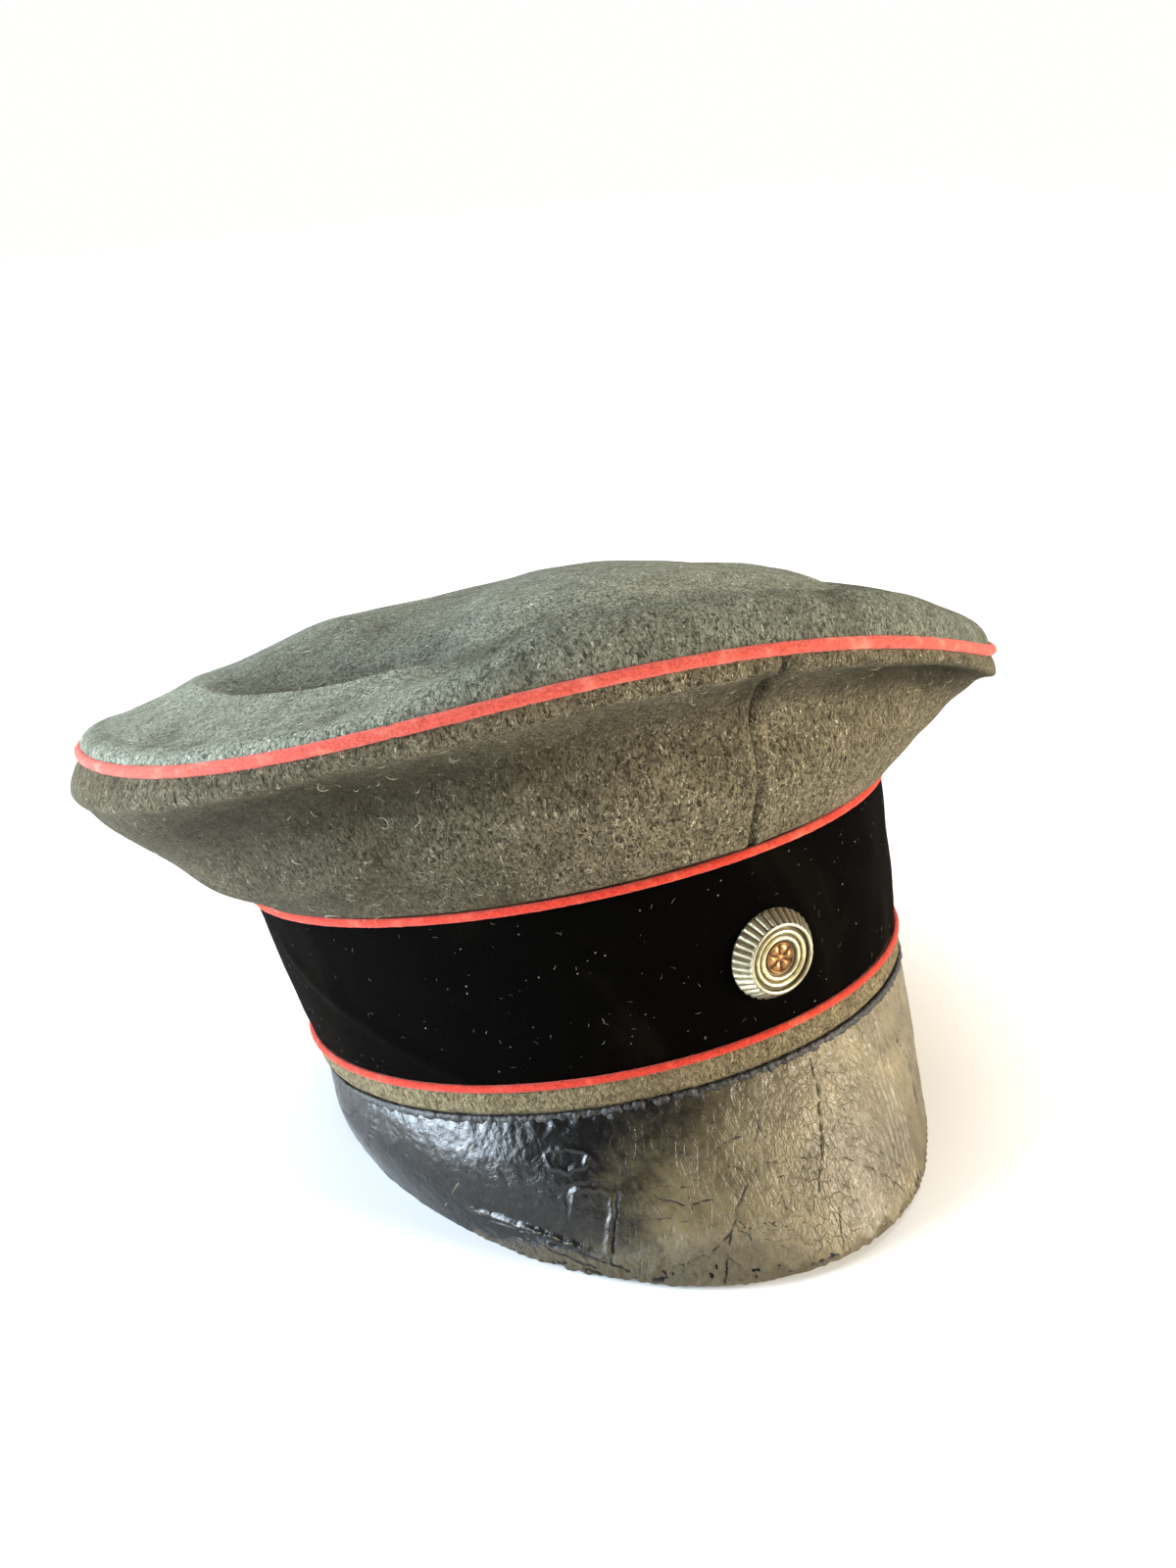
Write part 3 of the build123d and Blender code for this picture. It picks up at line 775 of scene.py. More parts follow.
# %% Marks on the visor
CRACKS = (  # half-width, depth, points
    (0.34, 0.50, ((5.2, 0.05), (4.5, 0.22), (2.3, 0.42), (-1.8, 0.66))),
    (0.26, 0.30, ((-10.0, 0.44), (-2.5, 0.48), (5.7, 0.58), (13.3, 0.77), (17.5, 0.92))),
    (0.30, 0.40, ((-10.8, 0.46), (-14.0, 0.55), (-17.5, 0.70), (-21.5, 0.98))),
    (0.32, 0.40, ((-17.6, 0.72), (-21.6, 0.81))),
    (0.24, 0.25, ((1.0, 0.77), (-0.7, 0.96))),
    (0.24, 0.25, ((13.9, 0.66), (19.4, 0.84))),
    (0.30, 0.40, ((-26.2, 0.52), (-22.9, 0.56), (-18.6, 0.55))),
    (0.24, 0.30, ((-18.0, 0.35), (-14.1, 0.29), (-9.7, 0.28))),
    (0.42, 0.60, ((-72.6, 0.02), (-76.0, 0.30), (-80.0, 0.65))),
    (0.40, 0.60, ((-88.4, 0.48), (-83.6, 0.37), (-80.4, 0.15))),
    (0.34, 0.40, ((-41.6, 0.64), (-40.6, 0.50), (-40.2, 0.44), (-38.6, 0.40), (-35.6, 0.405),
                  (-33.1, 0.44))),
    (0.55, 0.70, ((-33.0, 0.47), (-33.4, 0.52), (-35.3, 0.68), (-37.4, 0.90))),
    (0.50, 0.60, ((-58.5, 0.735), (-51.9, 0.745), (-45.9, 0.79), (-41.2, 0.85), (-35.0, 0.92))),
    (0.40, 0.50, ((-50.0, 0.80), (-46.0, 0.86), (-40.0, 0.93))),
    (0.22, 0.20, ((-8.0, 0.10), (-7.2, 0.22), (-9.5, 0.34))),
    (0.20, 0.18, ((-1.5, 0.44), (-3.0, 0.52), (-8.0, 0.53))),
    (0.20, 0.18, ((-15.0, 0.40), (-12.0, 0.47), (-13.5, 0.53))),
    (0.20, 0.15, ((-6.0, 0.62), (-9.0, 0.72), (-14.0, 0.74), (-17.5, 0.70))),
    (0.40, 0.30, ((30.0, 0.30), (33.0, 0.48), (32.0, 0.70))),
    (0.45, 0.35, ((47.0, 0.20), (50.0, 0.42), (49.0, 0.66), (54.0, 0.85))),
)
random.seed(12)
HAIRLINES = []  # fine cracks between the main ones
for count in range(54):
    degrees, down, lean = random.uniform(-36, 23), random.uniform(0.06, 0.9), random.gauss(0, 4)
    reach = random.uniform(0.04, 0.17)
    HAIRLINES.append((0.2, random.uniform(0.08, 0.16), (
        (degrees, down), (degrees + lean * 0.6, down + reach * 0.5),
        (degrees + lean + random.gauss(0, 1), min(0.97, down + reach)))))
RIDGES = (  # half-width, height, points
    (0.7, 0.55, ((-41.0, 0.62), (-39.8, 0.50), (-39.2, 0.455), (-38.2, 0.43), (-35.6, 0.43),
                 (-33.8, 0.46))),
    (0.8, 0.95, ((-33.9, 0.50), (-34.2, 0.55), (-35.9, 0.69), (-37.8, 0.86))),
    (1.0, 1.10, ((-57.8, 0.70), (-51.9, 0.71), (-45.9, 0.75), (-41.2, 0.81), (-35.0, 0.88))),
    (0.7, 0.60, ((-47.0, 0.84), (-43.0, 0.90), (-38.0, 0.95))),
    (0.6, 0.60, ((-42.0, 0.24), (-41.0, 0.205), (-39.0, 0.19), (-36.4, 0.205), (-35.4, 0.24),
                 (-36.3, 0.29), (-39.2, 0.33), (-41.6, 0.30), (-42.0, 0.24))),
    (0.4, 0.30, ((-28.8, 0.48), (-27.0, 0.65))),
    (0.8, 0.70, ((-30.0, 0.86), (-32.5, 0.95))),
    (0.5, 0.35, ((-20.3, 0.33), (-21.0, 0.37), (-20.4, 0.40))),
)
SCRATCHES = (
    (0.30, 0.15, ((-54.3, 0.19), (-58.5, 0.50), (-63.4, 0.79))),
    (0.22, 0.10, ((-28.4, 0.48), (-26.6, 0.65))),
    (0.24, 0.10, ((-57.4, 0.69), (-51.5, 0.70), (-45.5, 0.74), (-41.0, 0.80))),
    (0.22, 0.10, ((-34.6, 0.58), (-36.2, 0.72))),
    (0.22, 0.10, ((-44.0, 0.86), (-38.0, 0.92))),
)


def mark_tree(marks):
    """A search tree of points along marks, and each point's width and size."""
    trail = []
    for width, size, points in marks:
        spots = [visor_point(math.radians(turn), down) for turn, down in points]
        total = sum((b - a).length for a, b in zip(spots, spots[1:]))
        gone = 0.0
        for a, b in zip(spots, spots[1:]):
            steps = max(2, int((b - a).length / 0.3))
            for step in range(steps):
                spot = a.lerp(b, step / steps)
                jag = Vector([noise.noise(spot / 2.5 + Vector((k * 9, 0, 0))) for k in range(3)])
                along = (gone + (b - a).length * step / steps) / total
                swell = 0.35 + 0.65 * math.sin(math.pi * along)
                trail.append((spot + jag * 0.55, width, size * swell))
            gone += (b - a).length
    tree = KDTree(len(trail))
    for index, mark in enumerate(trail):
        tree.insert(mark[0], index)
    tree.balance()
    return tree, trail


all_marks = (CRACKS + tuple(HAIRLINES), RIDGES, SCRATCHES)
crack_tree, ridge_tree, scratch_tree = (mark_tree(marks) for marks in all_marks)


def mark_here(found, spot):
    """How strongly a mark shows at a spot, 0 to 1, and its size in mm."""
    tree, trail = found
    near, index, distance = tree.find(spot)
    width, size = trail[index][1:]
    strength = bump(distance, 0, width)
    return strength, size * strength


def visor_wear(turn, down):
    """How far the lacquer is rubbed brown, and how far the face is rubbed through to the fibre."""
    degrees = math.degrees(turn)
    patch = noise.noise(Vector((degrees / 9, down * 4, 3)))
    fine = noise.noise(Vector((degrees / 2.2, down * 17, 8)))
    rubbed = ease(degrees + 5 * patch + 3 * fine + 18 * (down - 0.4), -46, -4)
    rubbed *= 1 - 0.4 * bump(down, 0, 0.2) * (1 - ease(degrees, -8, 10))
    edge_band = ease(down + 0.06 * patch + 0.05 * fine, 0.90, 0.98)
    front_patch = bump(degrees, -22, 12) * ease(down + 0.10 * patch + 0.06 * fine, 0.66, 0.86)
    torn = bump(degrees, -44, 13) * ease(down + 0.08 * fine, 0.80, 0.90)
    return rubbed, min(1.0, 0.6 * edge_band + 0.8 * front_patch + 0.8 * torn)


# %% [markdown]
# The visor's columns of faces are not even: they stand close together over the marks in front and
# further apart at the sides, so that fine cracks get the faces they need within a light mesh.

# %% Visor leather
FINE_FROM, FINE_TO, FINE_SHARE = -66.0, 24.0, 0.78


def visor_turn(across):
    """The turn of a column of faces, columns packed closer between the fine limits."""
    end = math.degrees(VISOR_TURN)
    coarse = (1 - FINE_SHARE) / ((end + FINE_FROM) + (end - FINE_TO))
    first = coarse * (end + FINE_FROM)
    if across < first:
        degrees = -end + across / coarse
    elif across < first + FINE_SHARE:
        degrees = FINE_FROM + (across - first) / FINE_SHARE * (FINE_TO - FINE_FROM)
    else:
        degrees = FINE_TO + (across - first - FINE_SHARE) / coarse
    return math.radians(max(-end, min(end, degrees)))


def ragged(turn):
    """How much the edge has been rubbed back, in mm."""
    coarse = noise.noise(Vector((turn * 9, 1, 5)))
    fine = noise.noise(Vector((turn * 42, 2, 5)))
    torn = 1.2 * bump(turn, math.radians(-48), math.radians(12))
    return max(0.0, 0.5 + 0.5 * coarse + 0.45 * fine + torn * (0.6 + fine))


OUTER_SHARE = 0.92  # of the grid's rows lie on the outer face, the rest run back underneath
painted = {"crack": [], "scratch": [], "rubbed": [], "fibre": []}


def visor_skin(across, up):
    """The leather's outer face, round its edge and back underneath; each call also paints."""
    turn = visor_turn(across)
    back = max(0.0, up - OUTER_SHARE) / (1 - OUTER_SHARE) if up < 0.9999 else 0.0
    down = 1 - back if back else min(1.0, up / OUTER_SHARE) if up < 0.9999 else 0.0
    spot = visor_point(turn, down, 1.1 * min(1.0, 3 * back), ragged(turn))
    crack, crack_depth = mark_here(crack_tree, spot)
    ridge, ridge_height = mark_here(ridge_tree, spot)
    scratch, scratch_depth = mark_here(scratch_tree, spot)
    rubbed, fibre = visor_wear(turn, down)
    frayed = fibre * 0.45 * noise.noise(spot / 1.4) + fibre * 0.35 * noise.noise(spot / 4.5)
    pucker = 0.6 * bump(down, 0.04, 0.035) * noise.noise(Vector((turn * 30, 4, 4)))
    degrees = math.degrees(turn)
    crinkle = ease(degrees, 12, 24) * ease(down, 0.0, 0.1)
    crinkle *= 0.22 * math.sin(degrees * 4.2 + 2.6 * noise.noise(spot / 7))
    sag = 0.16 * noise.noise(spot / 7) + 0.06 * noise.noise(spot / 2.2)
    relief = ridge_height - crack_depth - scratch_depth + frayed + pucker + crinkle + sag
    for name, value in zip(painted, (crack, scratch, rubbed, fibre)):
        painted[name].append(0.0 if back else value)
    return spot + visor_out(turn) * (0.0 if back else relief)


visor = wrapped("visor_leather", 620, 130, visor_skin, closed=True, painted=painted, capped=True)
mesh_work(visor, bpy.ops.mesh.flip_normals)  # a bent shell is made consistent inside out
bpy.ops.object.shade_smooth_by_angle(angle=math.radians(60))

# %% [markdown]
# Old lacquered leather is three surfaces in one. Where it is whole it is a hard black gloss over
# pebbled grain. Where it is rubbed it is a brown satin with a net of fine cracks. At the edge only
# matted fibre is left. The painted numbers mix the three.

# %% Lacquer finish
lacquer = Finish("cracked_lacquer")
lacquer.set("Specular IOR Level", 0.4)
crack = lacquer.step(lacquer.painted("crack"), 0.2, 0.7)
scratch = lacquer.step(lacquer.painted("scratch"), 0.35, 0.8)
rubbed = lacquer.painted("rubbed")
fibre = lacquer.painted("fibre")
pebble = lacquer.cells(620, "SMOOTH_F1")
drawn = lacquer.stretched((1.0, 1.0, 0.3))
wrinkle = lacquer.grain(560, 3, 0.6, 1.2, where=drawn)
crease = lacquer.grain(230, 4, 0.7, 2.5)
cloud = lacquer.grain(45, 3, 0.5, 0.5)
mottle = lacquer.grain(300, 4, 0.7)
crazing = 1 - lacquer.step(lacquer.cells(520, "DISTANCE_TO_EDGE", where=drawn), 0.0, 0.05)
crazed = lacquer.step(lacquer.grain(50, 3, 0.6), 0.40, 0.62) * rubbed * crazing
matted = lacquer.grain(900, 4, 0.75, 2.0)

gloss_colour = lacquer.blend(mottle, shade(5, 5, 6), shade(20, 19, 18))
brown = lacquer.blend(lacquer.step(cloud, 0.25, 0.8), shade(84, 75, 54), shade(130, 118, 88))
brown = lacquer.blend(lacquer.step(mottle, 0.45, 0.7) * 0.4, brown, shade(76, 66, 48))
brown = lacquer.blend((1 - lacquer.step(wrinkle, 0.30, 0.50)) * 0.4, brown, shade(50, 43, 31))
fibre_colour = lacquer.blend(matted, shade(27, 23, 16), shade(112, 99, 70))
half_rubbed = lacquer.step(rubbed + (mottle - 0.5) * 0.5 + (crease - 0.5) * 0.3, 0.05, 0.95)
face = lacquer.blend(half_rubbed, gloss_colour, brown)
face = lacquer.blend(lacquer.step(fibre + (matted - 0.5) * 1.1, 0.3, 0.8) * 0.85, face, fibre_colour)
face = lacquer.blend(crazed * 0.2, face, shade(30, 26, 20))
face = lacquer.blend(scratch * 0.6, face, shade(128, 120, 98))
lacquer.set("Base Color", lacquer.blend(crack * 0.9, face, shade(8, 7, 7)))
rough = lacquer.step(mottle, 0.2, 0.8) * 0.10 + 0.20 + half_rubbed * 0.10 + fibre * 0.35 + crack * 0.3
lacquer.set("Roughness", rough)
height = pebble * 0.35 + crease * 0.5 + wrinkle * (rubbed * 1.1 + 0.15) - crazed * 0.35
fine_relief = lacquer.relief(height, 0.38)
lacquer.set("Normal", lacquer.relief(matted * fibre, 0.9, under=fine_relief))
fitted(visor, lacquer, "lacquered_leather", "visor_top_leather")

# %% Core and underside
board = Finish("leather_board", Roughness=0.9)
layers = board.grain(260, 4, 0.7, where=board.stretched((0.2, 0.2, 3.0)))
board.two_tone(layers, (52, 40, 26), (112, 92, 62), layers, 0.5)
under = Finish("underside_leather", Roughness=0.55)
pores = under.cells(900, "SMOOTH_F1")
age = under.grain(50, 4, 0.6)
under.two_tone(age, (42, 38, 32), (88, 80, 66), pores, 0.2)


def visor_layer(name, depth, trim, thickness):
    """A layer under the visor's skin, its edge frayed."""
    def place(across, up):
        turn = visor_turn(across)
        fray = 0.5 + 0.5 * noise.noise(Vector((turn * 55, depth, 9)))
        return visor_point(turn, 1 - up, depth, trim + ragged(turn) * 0.6 + fray)
    return thicken(wrapped(name, 260, 30, place), thickness)


core = visor_layer("visor_core_board", 1.15, 0.1, 1.0)
fitted(core, board, "leather_board", "visor_core")
lower = visor_layer("visor_lower_leather", 2.2, 0.3, 0.7)
fitted(lower, under, "underside_leather", "visor_underside")

# %% [markdown]
# Where the visor meets the welt, the lacquered skin was folded over and has dried into a ruffled
# black strip. It is a flattened cord that swells and shrinks quickly along its length.

# %% Ruffled strip over the visor seam
FOLD_END = math.radians(95)


def angle_row(up):
    """A slow change round the strip, so that the ruffles are not rings."""
    return math.sin(up * math.tau) * 0.8


def fold_point(across, up):
    turn = (2 * across - 1) * FOLD_END
    ends = min(1.0, 12 * across, 12 * (1 - across))
    busy = bump(math.degrees(turn), -22, 22)
    ruffle = 0.35 * noise.noise(Vector((turn * 30, 0, 0)))
    ruffle += (0.2 + 0.45 * busy) * noise.noise(Vector((turn * 75, 3, angle_row(up))))
    middle = band_point(turn, -0.9 / BAND_TOP_Z, 0.35 + 0.5 * ruffle)
    angle = up * math.tau
    radial = Vector((math.sin(turn), -math.cos(turn), 0))
    wide, thick = (1.2 + 1.3 * ruffle) * ends + 0.05, (0.7 + 1.0 * ruffle) * ends + 0.05
    middle.z -= 0.5 * busy * noise.noise(Vector((turn * 50, 7, 0)))
    return middle + radial * (thick * math.cos(angle)) + Vector((0, 0, 1)) * (wide * math.sin(angle))


fold = wrapped("visor_seam_fold", 700, 12, fold_point, closed=True, capped=True)
skin = Finish("folded_skin", Roughness=0.5)
kinks = skin.grain(600, 3, 0.7, 1.5)
skin.two_tone(kinks, (8, 8, 9), (38, 35, 32), kinks, 0.4)
fitted(fold, skin, "lacquered_leather")

# %% [markdown]
# ## Cockade
# The turning cockade is stamped white metal: a scalloped, sloping flange with a bright lip, two
# raised rings and a recessed centre. Metal needs dirt to look real, so noise darkens it and a
# painted depth puts grime in the channels. In the centre stands a plain six-petalled rosette.

# %% Cockade finishes
def old_metal(name, bright, dull, grime):
    """Stamped metal, cleaner where it is rubbed and grimy where low is painted."""
    metal = Finish(name, Metallic=0.9)
    dirt = metal.grain(700, 4, 0.7)
    cast = metal.grain(200, 3, 0.6)
    low = metal.painted("low")
    clean = metal.blend(cast, dull, bright)
    soiled = metal.blend(metal.step(dirt, 0.45, 0.75) * 0.55, clean, grime)
    metal.set("Base Color", metal.blend(low * 0.85, soiled, grime))
    metal.set("Roughness", dirt * 0.25 + 0.27 + low * 0.25)
    metal.set("Normal", metal.relief(dirt, 0.06))
    return metal


flange_metal = old_metal("flange_metal", shade(204, 196, 168), shade(164, 154, 126), shade(84, 72, 50))
ring_metal = old_metal("ring_metal", shade(232, 224, 186), shade(206, 194, 150), shade(60, 50, 32))
rose_metal = old_metal("rose_metal", shade(190, 142, 96), shade(140, 98, 62), shade(46, 30, 18))
plain = Finish("plain_steel", Metallic=1.0, Roughness=0.5)
rust = plain.step(plain.grain(300, 4, 0.7), 0.5, 0.7)
plain.two_tone(rust, (120, 120, 118), (96, 64, 42))


# %% Cockade shapes
PIN = Vector((0, -99.383, 30.0))  # where the cockade's axle leaves the band
OUT = Vector((0, -0.9913, -0.1316))
UP = Vector((0, -0.1316, 0.9913))
FLUTES = 34


def on_cockade(radius, angle, height):
    return PIN + Vector((1, 0, 0)) * radius * math.cos(angle) + UP * radius * math.sin(angle) + OUT * height


def profile_at(points, share):
    """A place along an outline of (radius, height) points, share 0 to 1."""
    place = min(share, 0.9999) * (len(points) - 1)
    index = int(place)
    (r0, h0), (r1, h1) = points[index], points[index + 1]
    return r0 + (r1 - r0) * (place - index), h0 + (h1 - h0) * (place - index)


FLANGE = ((11.3, 0.35), (12.0, 0.35), (12.1, 0.9), (11.8, 1.5), (11.3, 2.3), (10.8, 3.1), (10.3, 3.9),
          (9.8, 4.6), (9.45, 4.95), (9.2, 5.2), (8.85, 5.32), (8.55, 5.15), (8.5, 4.2), (9.2, 3.6),
          (10.6, 1.6), (11.3, 0.35))


def turned(name, outline, columns, rows, shape, low):
    """A piece turned from an outline, with shape(angle, share) added outwards, low painted on."""
    grime = {"low": []}

    def place(across, up):
        angle = -across * math.tau
        share = up if up < 0.9999 or outline[0] != outline[-1] else 0.0
        radius, height = profile_at(outline, share)
        push, lift = shape(angle, share)
        grime["low"].append(low(angle, share))
        return on_cockade(radius + push, angle, height + lift)
    return wrapped(name, columns, rows, place, closed=True, painted=grime, capped=True)


def scallop(angle):
    """1 on a rib, falling to 0 in the groove between two."""
    return abs(math.cos(angle * FLUTES / 2)) ** 0.75


def flute_shape(angle, share):
    here = window(share, 0.02, 0.14, 0.46, 0.56)
    groove = (1 - scallop(angle)) * here
    return -0.75 * groove, -0.35 * groove


def flute_low(angle, share):
    here = window(share, 0.02, 0.14, 0.5, 0.58)
    return min(1.0, (1 - scallop(angle)) ** 1.5 * here + 0.9 * ease(share, 0.74, 0.82))


flange = turned("cockade_flange", FLANGE, FLUTES * 14, 60, flute_shape, flute_low)
fitted(flange, flange_metal, "silvered_metal", "cockade_rim", body="cockade")

RINGS = ((8.45, 3.3), (8.45, 4.15), (7.75, 4.15), (7.55, 4.45), (7.35, 4.85), (7.05, 5.0), (6.75, 4.85),
         (6.55, 4.45), (6.35, 4.1), (6.05, 4.1), (5.85, 4.45), (5.65, 4.8), (5.35, 4.95), (5.0, 4.8),
         (4.8, 4.4), (4.6, 4.0), (4.2, 3.9), (4.2, 3.3), (8.45, 3.3))


def ring_low(angle, share):
    radius, height = profile_at(RINGS, share)
    return 1 - ease(height, 4.15, 4.7)


rings = turned("cockade_rings", RINGS, 144, 72, lambda angle, share: (0, 0), ring_low)
fitted(rings, ring_metal, "silvered_metal", "cockade_face", body="cockade")

ROSE = ((0.02, 3.3), (4.1, 3.3), (4.1, 3.9), (3.9, 4.1), (3.4, 4.1), (2.8, 4.1), (2.2, 4.1), (1.6, 4.1),
        (1.0, 4.1), (0.5, 4.1), (0.02, 4.1))


def petals(angle, share):
    """Six round petals about a boss."""
    radius, height = profile_at(ROSE, share)
    if share < 0.3:
        return 0, 0
    folded = abs(math.cos(3 * angle))
    petal = bump(radius, 2.3, 1.25) * folded ** 0.6
    boss = bump(radius, 0, 0.8)
    rim = bump(radius, 3.9, 0.22)
    return 0, 0.75 * petal + 0.55 * boss + 0.4 * rim - 0.25


def rose_low(angle, share):
    return 1 - ease(petals(angle, share)[1], -0.15, 0.35)


rose = turned("cockade_rose", ROSE, 120, 80, petals, rose_low)
fitted(rose, rose_metal, "tarnished_brass", "cockade_centre", body="cockade")


# %% Cockade's plain parts
def finish_nodes(finish, *nodes):
    """Gives carried-over nodes their finish."""
    finish.cover(*(bpy.data.objects[node] for node in nodes))


finish_nodes(plain, "cockade_back_plate", "cockade_washer")
finish_nodes(brass, "cockade_prongs")

# %% [markdown]
# ## Inside the band
# Seen from below: a brown leather sweatband with its reed and running stitches, the buckram behind
# it, and a clear shield on the lining.

# %% Inner band finishes
leather = Finish("sweat_leather", Roughness=0.48)
grain = leather.cells(1100, "SMOOTH_F1")
tone = leather.grain(40, 4, 0.6)
sweat = leather.step(leather.grain(22, 3, 0.6), 0.48, 0.65)
tan = leather.blend(tone, shade(120, 78, 44), shade(164, 116, 72))
leather.set("Base Color", leather.blend(sweat * 0.6, tan, shade(70, 46, 28)))
leather.set("Normal", leather.relief(grain, 0.2))
buckram = Finish("buckram_board", Roughness=0.9)
net_weave = buckram.node("ShaderNodeTexChecker", out="Fac", Vector=buckram.place, Scale=900.0)
buckram.two_tone(net_weave, (140, 126, 96), (186, 172, 138))
reed = Finish("reed_binding", Roughness=0.6)
twist = reed.grain(800, 2, 0.6)
reed.two_tone(twist, (60, 42, 28), (110, 82, 56))
thread = Finish("sewing_thread", Roughness=0.7, Sheen_Weight=0.2)
ply = thread.grain(2500, 2, 0.6)
thread.two_tone(ply, (168, 156, 128), (214, 204, 178))
shield = Finish("celluloid", Roughness=0.18)
yellow = shield.grain(60, 3, 0.6)
shield.two_tone(yellow, (196, 176, 118), (218, 204, 156))
shield.set("Coat Weight", 0.3)
finish_nodes(leather, "sweatband", "sweatband_back_tab")
finish_nodes(buckram, "band_stiffener")
finish_nodes(reed, "sweatband_reed")
finish_nodes(thread, "sweatband_stitches")
finish_nodes(shield, "lining_sweat_shield")

# %% [markdown]
# ## Stray fibres
# Old wool sheds. Short pale hairs stand up from the melton, a few long ones curl just above the
# band, and the velvet holds specks of lint. One fine hair is modelled straight, then each copy is
# bent along its own curve with its own mesh, and all the copies are joined.

# %% Fibre tools
random.seed(31)
hair = wrapped("straight_hair", 7, 4, lambda across, up: Vector((
    across, 0.5 * math.cos(up * math.tau), 0.5 * math.sin(-up * math.tau))), closed=True, capped=True)
HAIR_SHAPE = [vertex.co / MM for vertex in hair.data.vertices]


def bent_hair(base, along, out, length, lift, curl, radius):
    """A copy of the hair: it leaves the cloth, lifts, curls by an angle and comes to a point."""
    mesh = hair.data.copy()
    side = out.cross(along).normalized()
    for vertex, shape in zip(mesh.vertices, HAIR_SHAPE):
        share = shape.x
        if curl > 0.2:
            bend = length / curl
            ahead, aside = bend * math.sin(curl * share), bend * (1 - math.cos(curl * share))
        else:
            ahead, aside = length * share, 0.0
        middle = base + along * ahead + side * aside + out * (lift * math.sin(math.pi * share * 0.8))
        thin = radius * (0.35 + 0.65 * math.sin(math.pi * (0.12 + 0.76 * share))) * 2
        vertex.co = (middle + out * (shape.y * thin) - side * (shape.z * thin)) * MM
    copy = bpy.data.objects.new("hair", mesh)
    bpy.context.collection.objects.link(copy)
    return copy


def joined_hairs(name, hairs, finish, slot):
    """Joins the copies into one piece of the cap."""
    bpy.ops.object.select_all(action="DESELECT")
    for copy in hairs:
        copy.select_set(True)
    bpy.context.view_layer.objects.active = hairs[0]
    bpy.ops.object.join()
    piece = bpy.context.object
    piece.name = name
    bpy.ops.object.shade_smooth()
    fitted(piece, finish, slot)


def on_surface(surface, first, second):
    """A point on a surface, with a random direction along it and its direction outwards."""
    spot = surface(first, second)
    ahead = (surface(first + 0.01, second) - spot).normalized()
    up = (surface(first, second + 0.01) - spot).normalized()
    out = ahead.cross(up).normalized()
    angle = random.uniform(0, math.tau)
    return spot, (ahead * math.cos(angle) + out.cross(ahead) * math.sin(angle)).normalized(), out


# %% Fibres on the wool and the velvet
pale_hair = Finish("pale_hair", Roughness=0.6)
pale_hair.two_tone(pale_hair.grain(900), (150, 142, 118), (226, 220, 198))
LONG_HAIRS = (  # degrees round, share up, length in mm, curl in radians
    (-60, 0.03, 9, 5.0), (-56, 0.05, 7, 3.4), (-64, 0.06, 8, 4.2), (-48, 0.50, 7, 4.6), (-50, 0.82, 5, 2.0),
    (-20, 0.30, 5, 2.2), (48, 0.86, 6, 2.6), (58, 0.93, 5, 1.5), (120, 0.3, 7, 3.6), (170, 0.1, 8, 4.0),
)
wool_hairs = []
for count in range(620):
    on_top = random.random() < 0.4
    turn = random.uniform(-math.pi, math.pi)
    place = random.uniform(0.03, 0.6) if on_top else random.uniform(0.03, 0.96)
    spot, along, out = on_surface(top_point if on_top else side_point, turn, place)
    wool_hairs.append(bent_hair(spot, along, out, random.uniform(1.0, 3.2), random.uniform(0.1, 0.8),
                                random.uniform(0.0, 2.4), random.uniform(0.035, 0.06)))
for degrees, rise, length, curl in LONG_HAIRS:
    spot, along, out = on_surface(side_point, math.radians(degrees), rise)
    wool_hairs.append(bent_hair(spot, along, out, length, 1.0, curl, 0.07))
joined_hairs("wool_fibres", wool_hairs, pale_hair, "melton_wool")

lint = Finish("velvet_lint", Roughness=0.8)
lint.two_tone(lint.grain(400), (52, 50, 46), (126, 122, 112))
velvet_hairs = []
for count in range(260):
    turn, place = random.uniform(-math.pi, math.pi), random.uniform(0.2, 0.97)
    spot, along, out = on_surface(lambda t, s: band_point(t, s, 0.95), turn, place)
    velvet_hairs.append(bent_hair(spot, along, out, random.uniform(0.3, 1.8), random.uniform(0.1, 0.4),
                                  random.uniform(0.0, 2.0), random.uniform(0.03, 0.055)))
joined_hairs("velvet_lint", velvet_hairs, lint, "black_velvet")
bpy.data.objects.remove(hair)

# %% [markdown]
# ## Floor and light
# The cap rests as it does on a table: on the visor's edge and the back of the band, so the floor
# slopes in the cap's own frame. The light is soft and even from above, with a cool panel on the
# wearer's right that draws the visor's highlight and a warm one low in front on the other side.

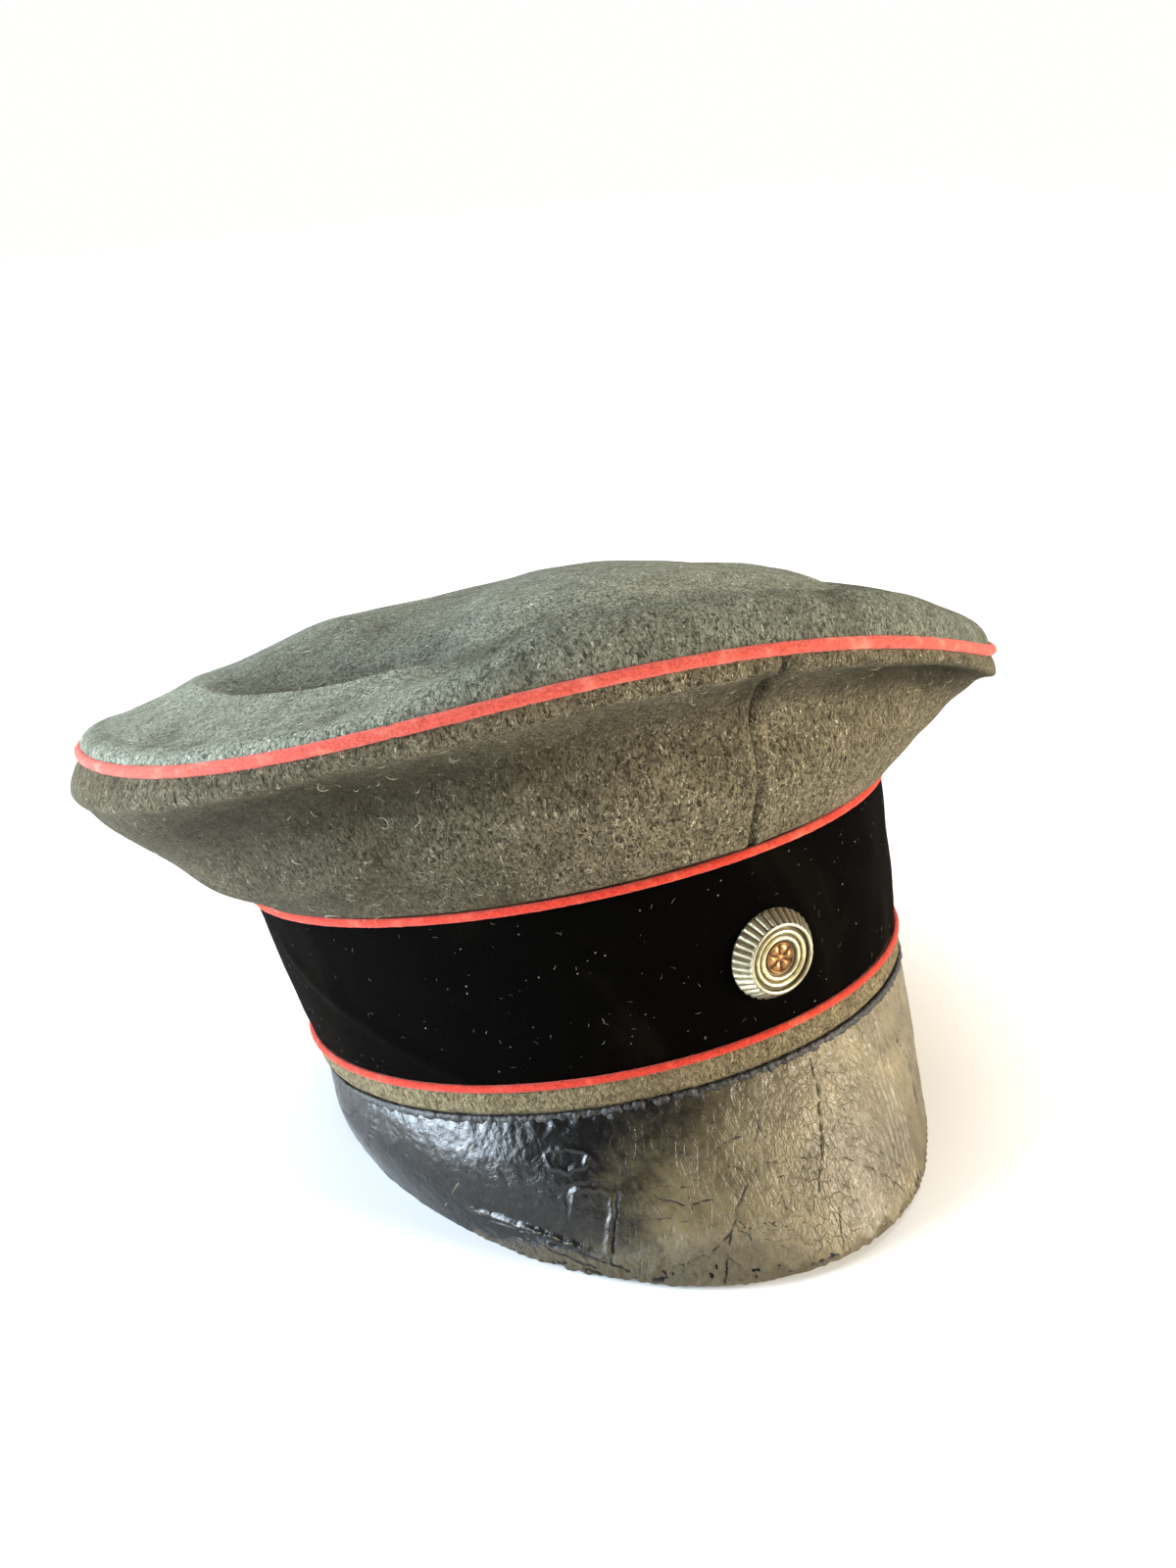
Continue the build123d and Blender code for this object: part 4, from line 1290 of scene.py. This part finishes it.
# %% Floor
VISOR_REST = Vector((0, -0.118, -0.0461))
BACK_REST = Vector((0, 0.095, -0.0010))
slope = math.atan2(BACK_REST.z - VISOR_REST.z, BACK_REST.y - VISOR_REST.y)
bpy.ops.object.select_all(action="DESELECT")
bpy.ops.mesh.primitive_circle_add(
    vertices=96, radius=14, fill_type="NGON", location=VISOR_REST - Vector((0, 0, 0.0012)),
    rotation=(slope, 0, 0),
)
floor = bpy.context.object
floor.name = "studio_floor"
paper = Finish("pale_paper", Roughness=0.9)
paper.set("Base Color", shade(240, 240, 238))
paper.cover(floor)


# %% Lights
def light(kind, name, place, power, colour, **pose):
    """A light at a place, in metres."""
    bpy.ops.object.select_all(action="DESELECT")
    bpy.ops.object.light_add(type=kind, location=place, **pose)
    lamp = bpy.context.object
    lamp.name = name
    lamp.data.energy = power
    lamp.data.color = colour
    return lamp


def soft_panel(name, place, aim, size, power, colour):
    """A square area light at a place, turned to an aim."""
    panel = light("AREA", name, place, power, colour)
    panel.data.size = size
    panel.rotation_mode = "QUATERNION"
    panel.rotation_quaternion = (Vector(aim) - Vector(place)).to_track_quat("-Z", "Y")


soft_panel("cool_side", (-0.85, 0.22, 0.24), (0, 0, 0.0), 0.5, 32, (0.74, 0.87, 1.0))
soft_panel("warm_front", (0.70, -0.90, 0.12), (0, 0, 0.03), 0.45, 24, (1.0, 0.91, 0.77))
overhead = light("SUN", "overhead", (0, 0, 2), 3.2, (1.0, 0.99, 0.96),
                 rotation=(math.radians(-14), math.radians(8), 0))
overhead.data.angle = math.radians(50)

# %% [markdown]
# The studio's walls are white to look at but dim as a light, so that the panels keep their say.
# A Light Path node tells the two apart.

# %% Studio walls
ROOM_LIGHT, ROOM_WHITE = 0.30, 1.0
world = bpy.data.worlds.new("studio")
bpy.context.scene.world = world
world.use_nodes = True
walls = world.node_tree
seen = Wire(walls, walls.nodes.new("ShaderNodeLightPath").outputs["Is Camera Ray"])
walls.nodes["Background"].inputs["Color"].default_value = (1.0, 1.0, 0.99, 1)
plug(walls, walls.nodes["Background"].inputs["Strength"], seen * (ROOM_WHITE - ROOM_LIGHT) + ROOM_LIGHT)
bpy.context.scene.view_settings.view_transform = "Standard"
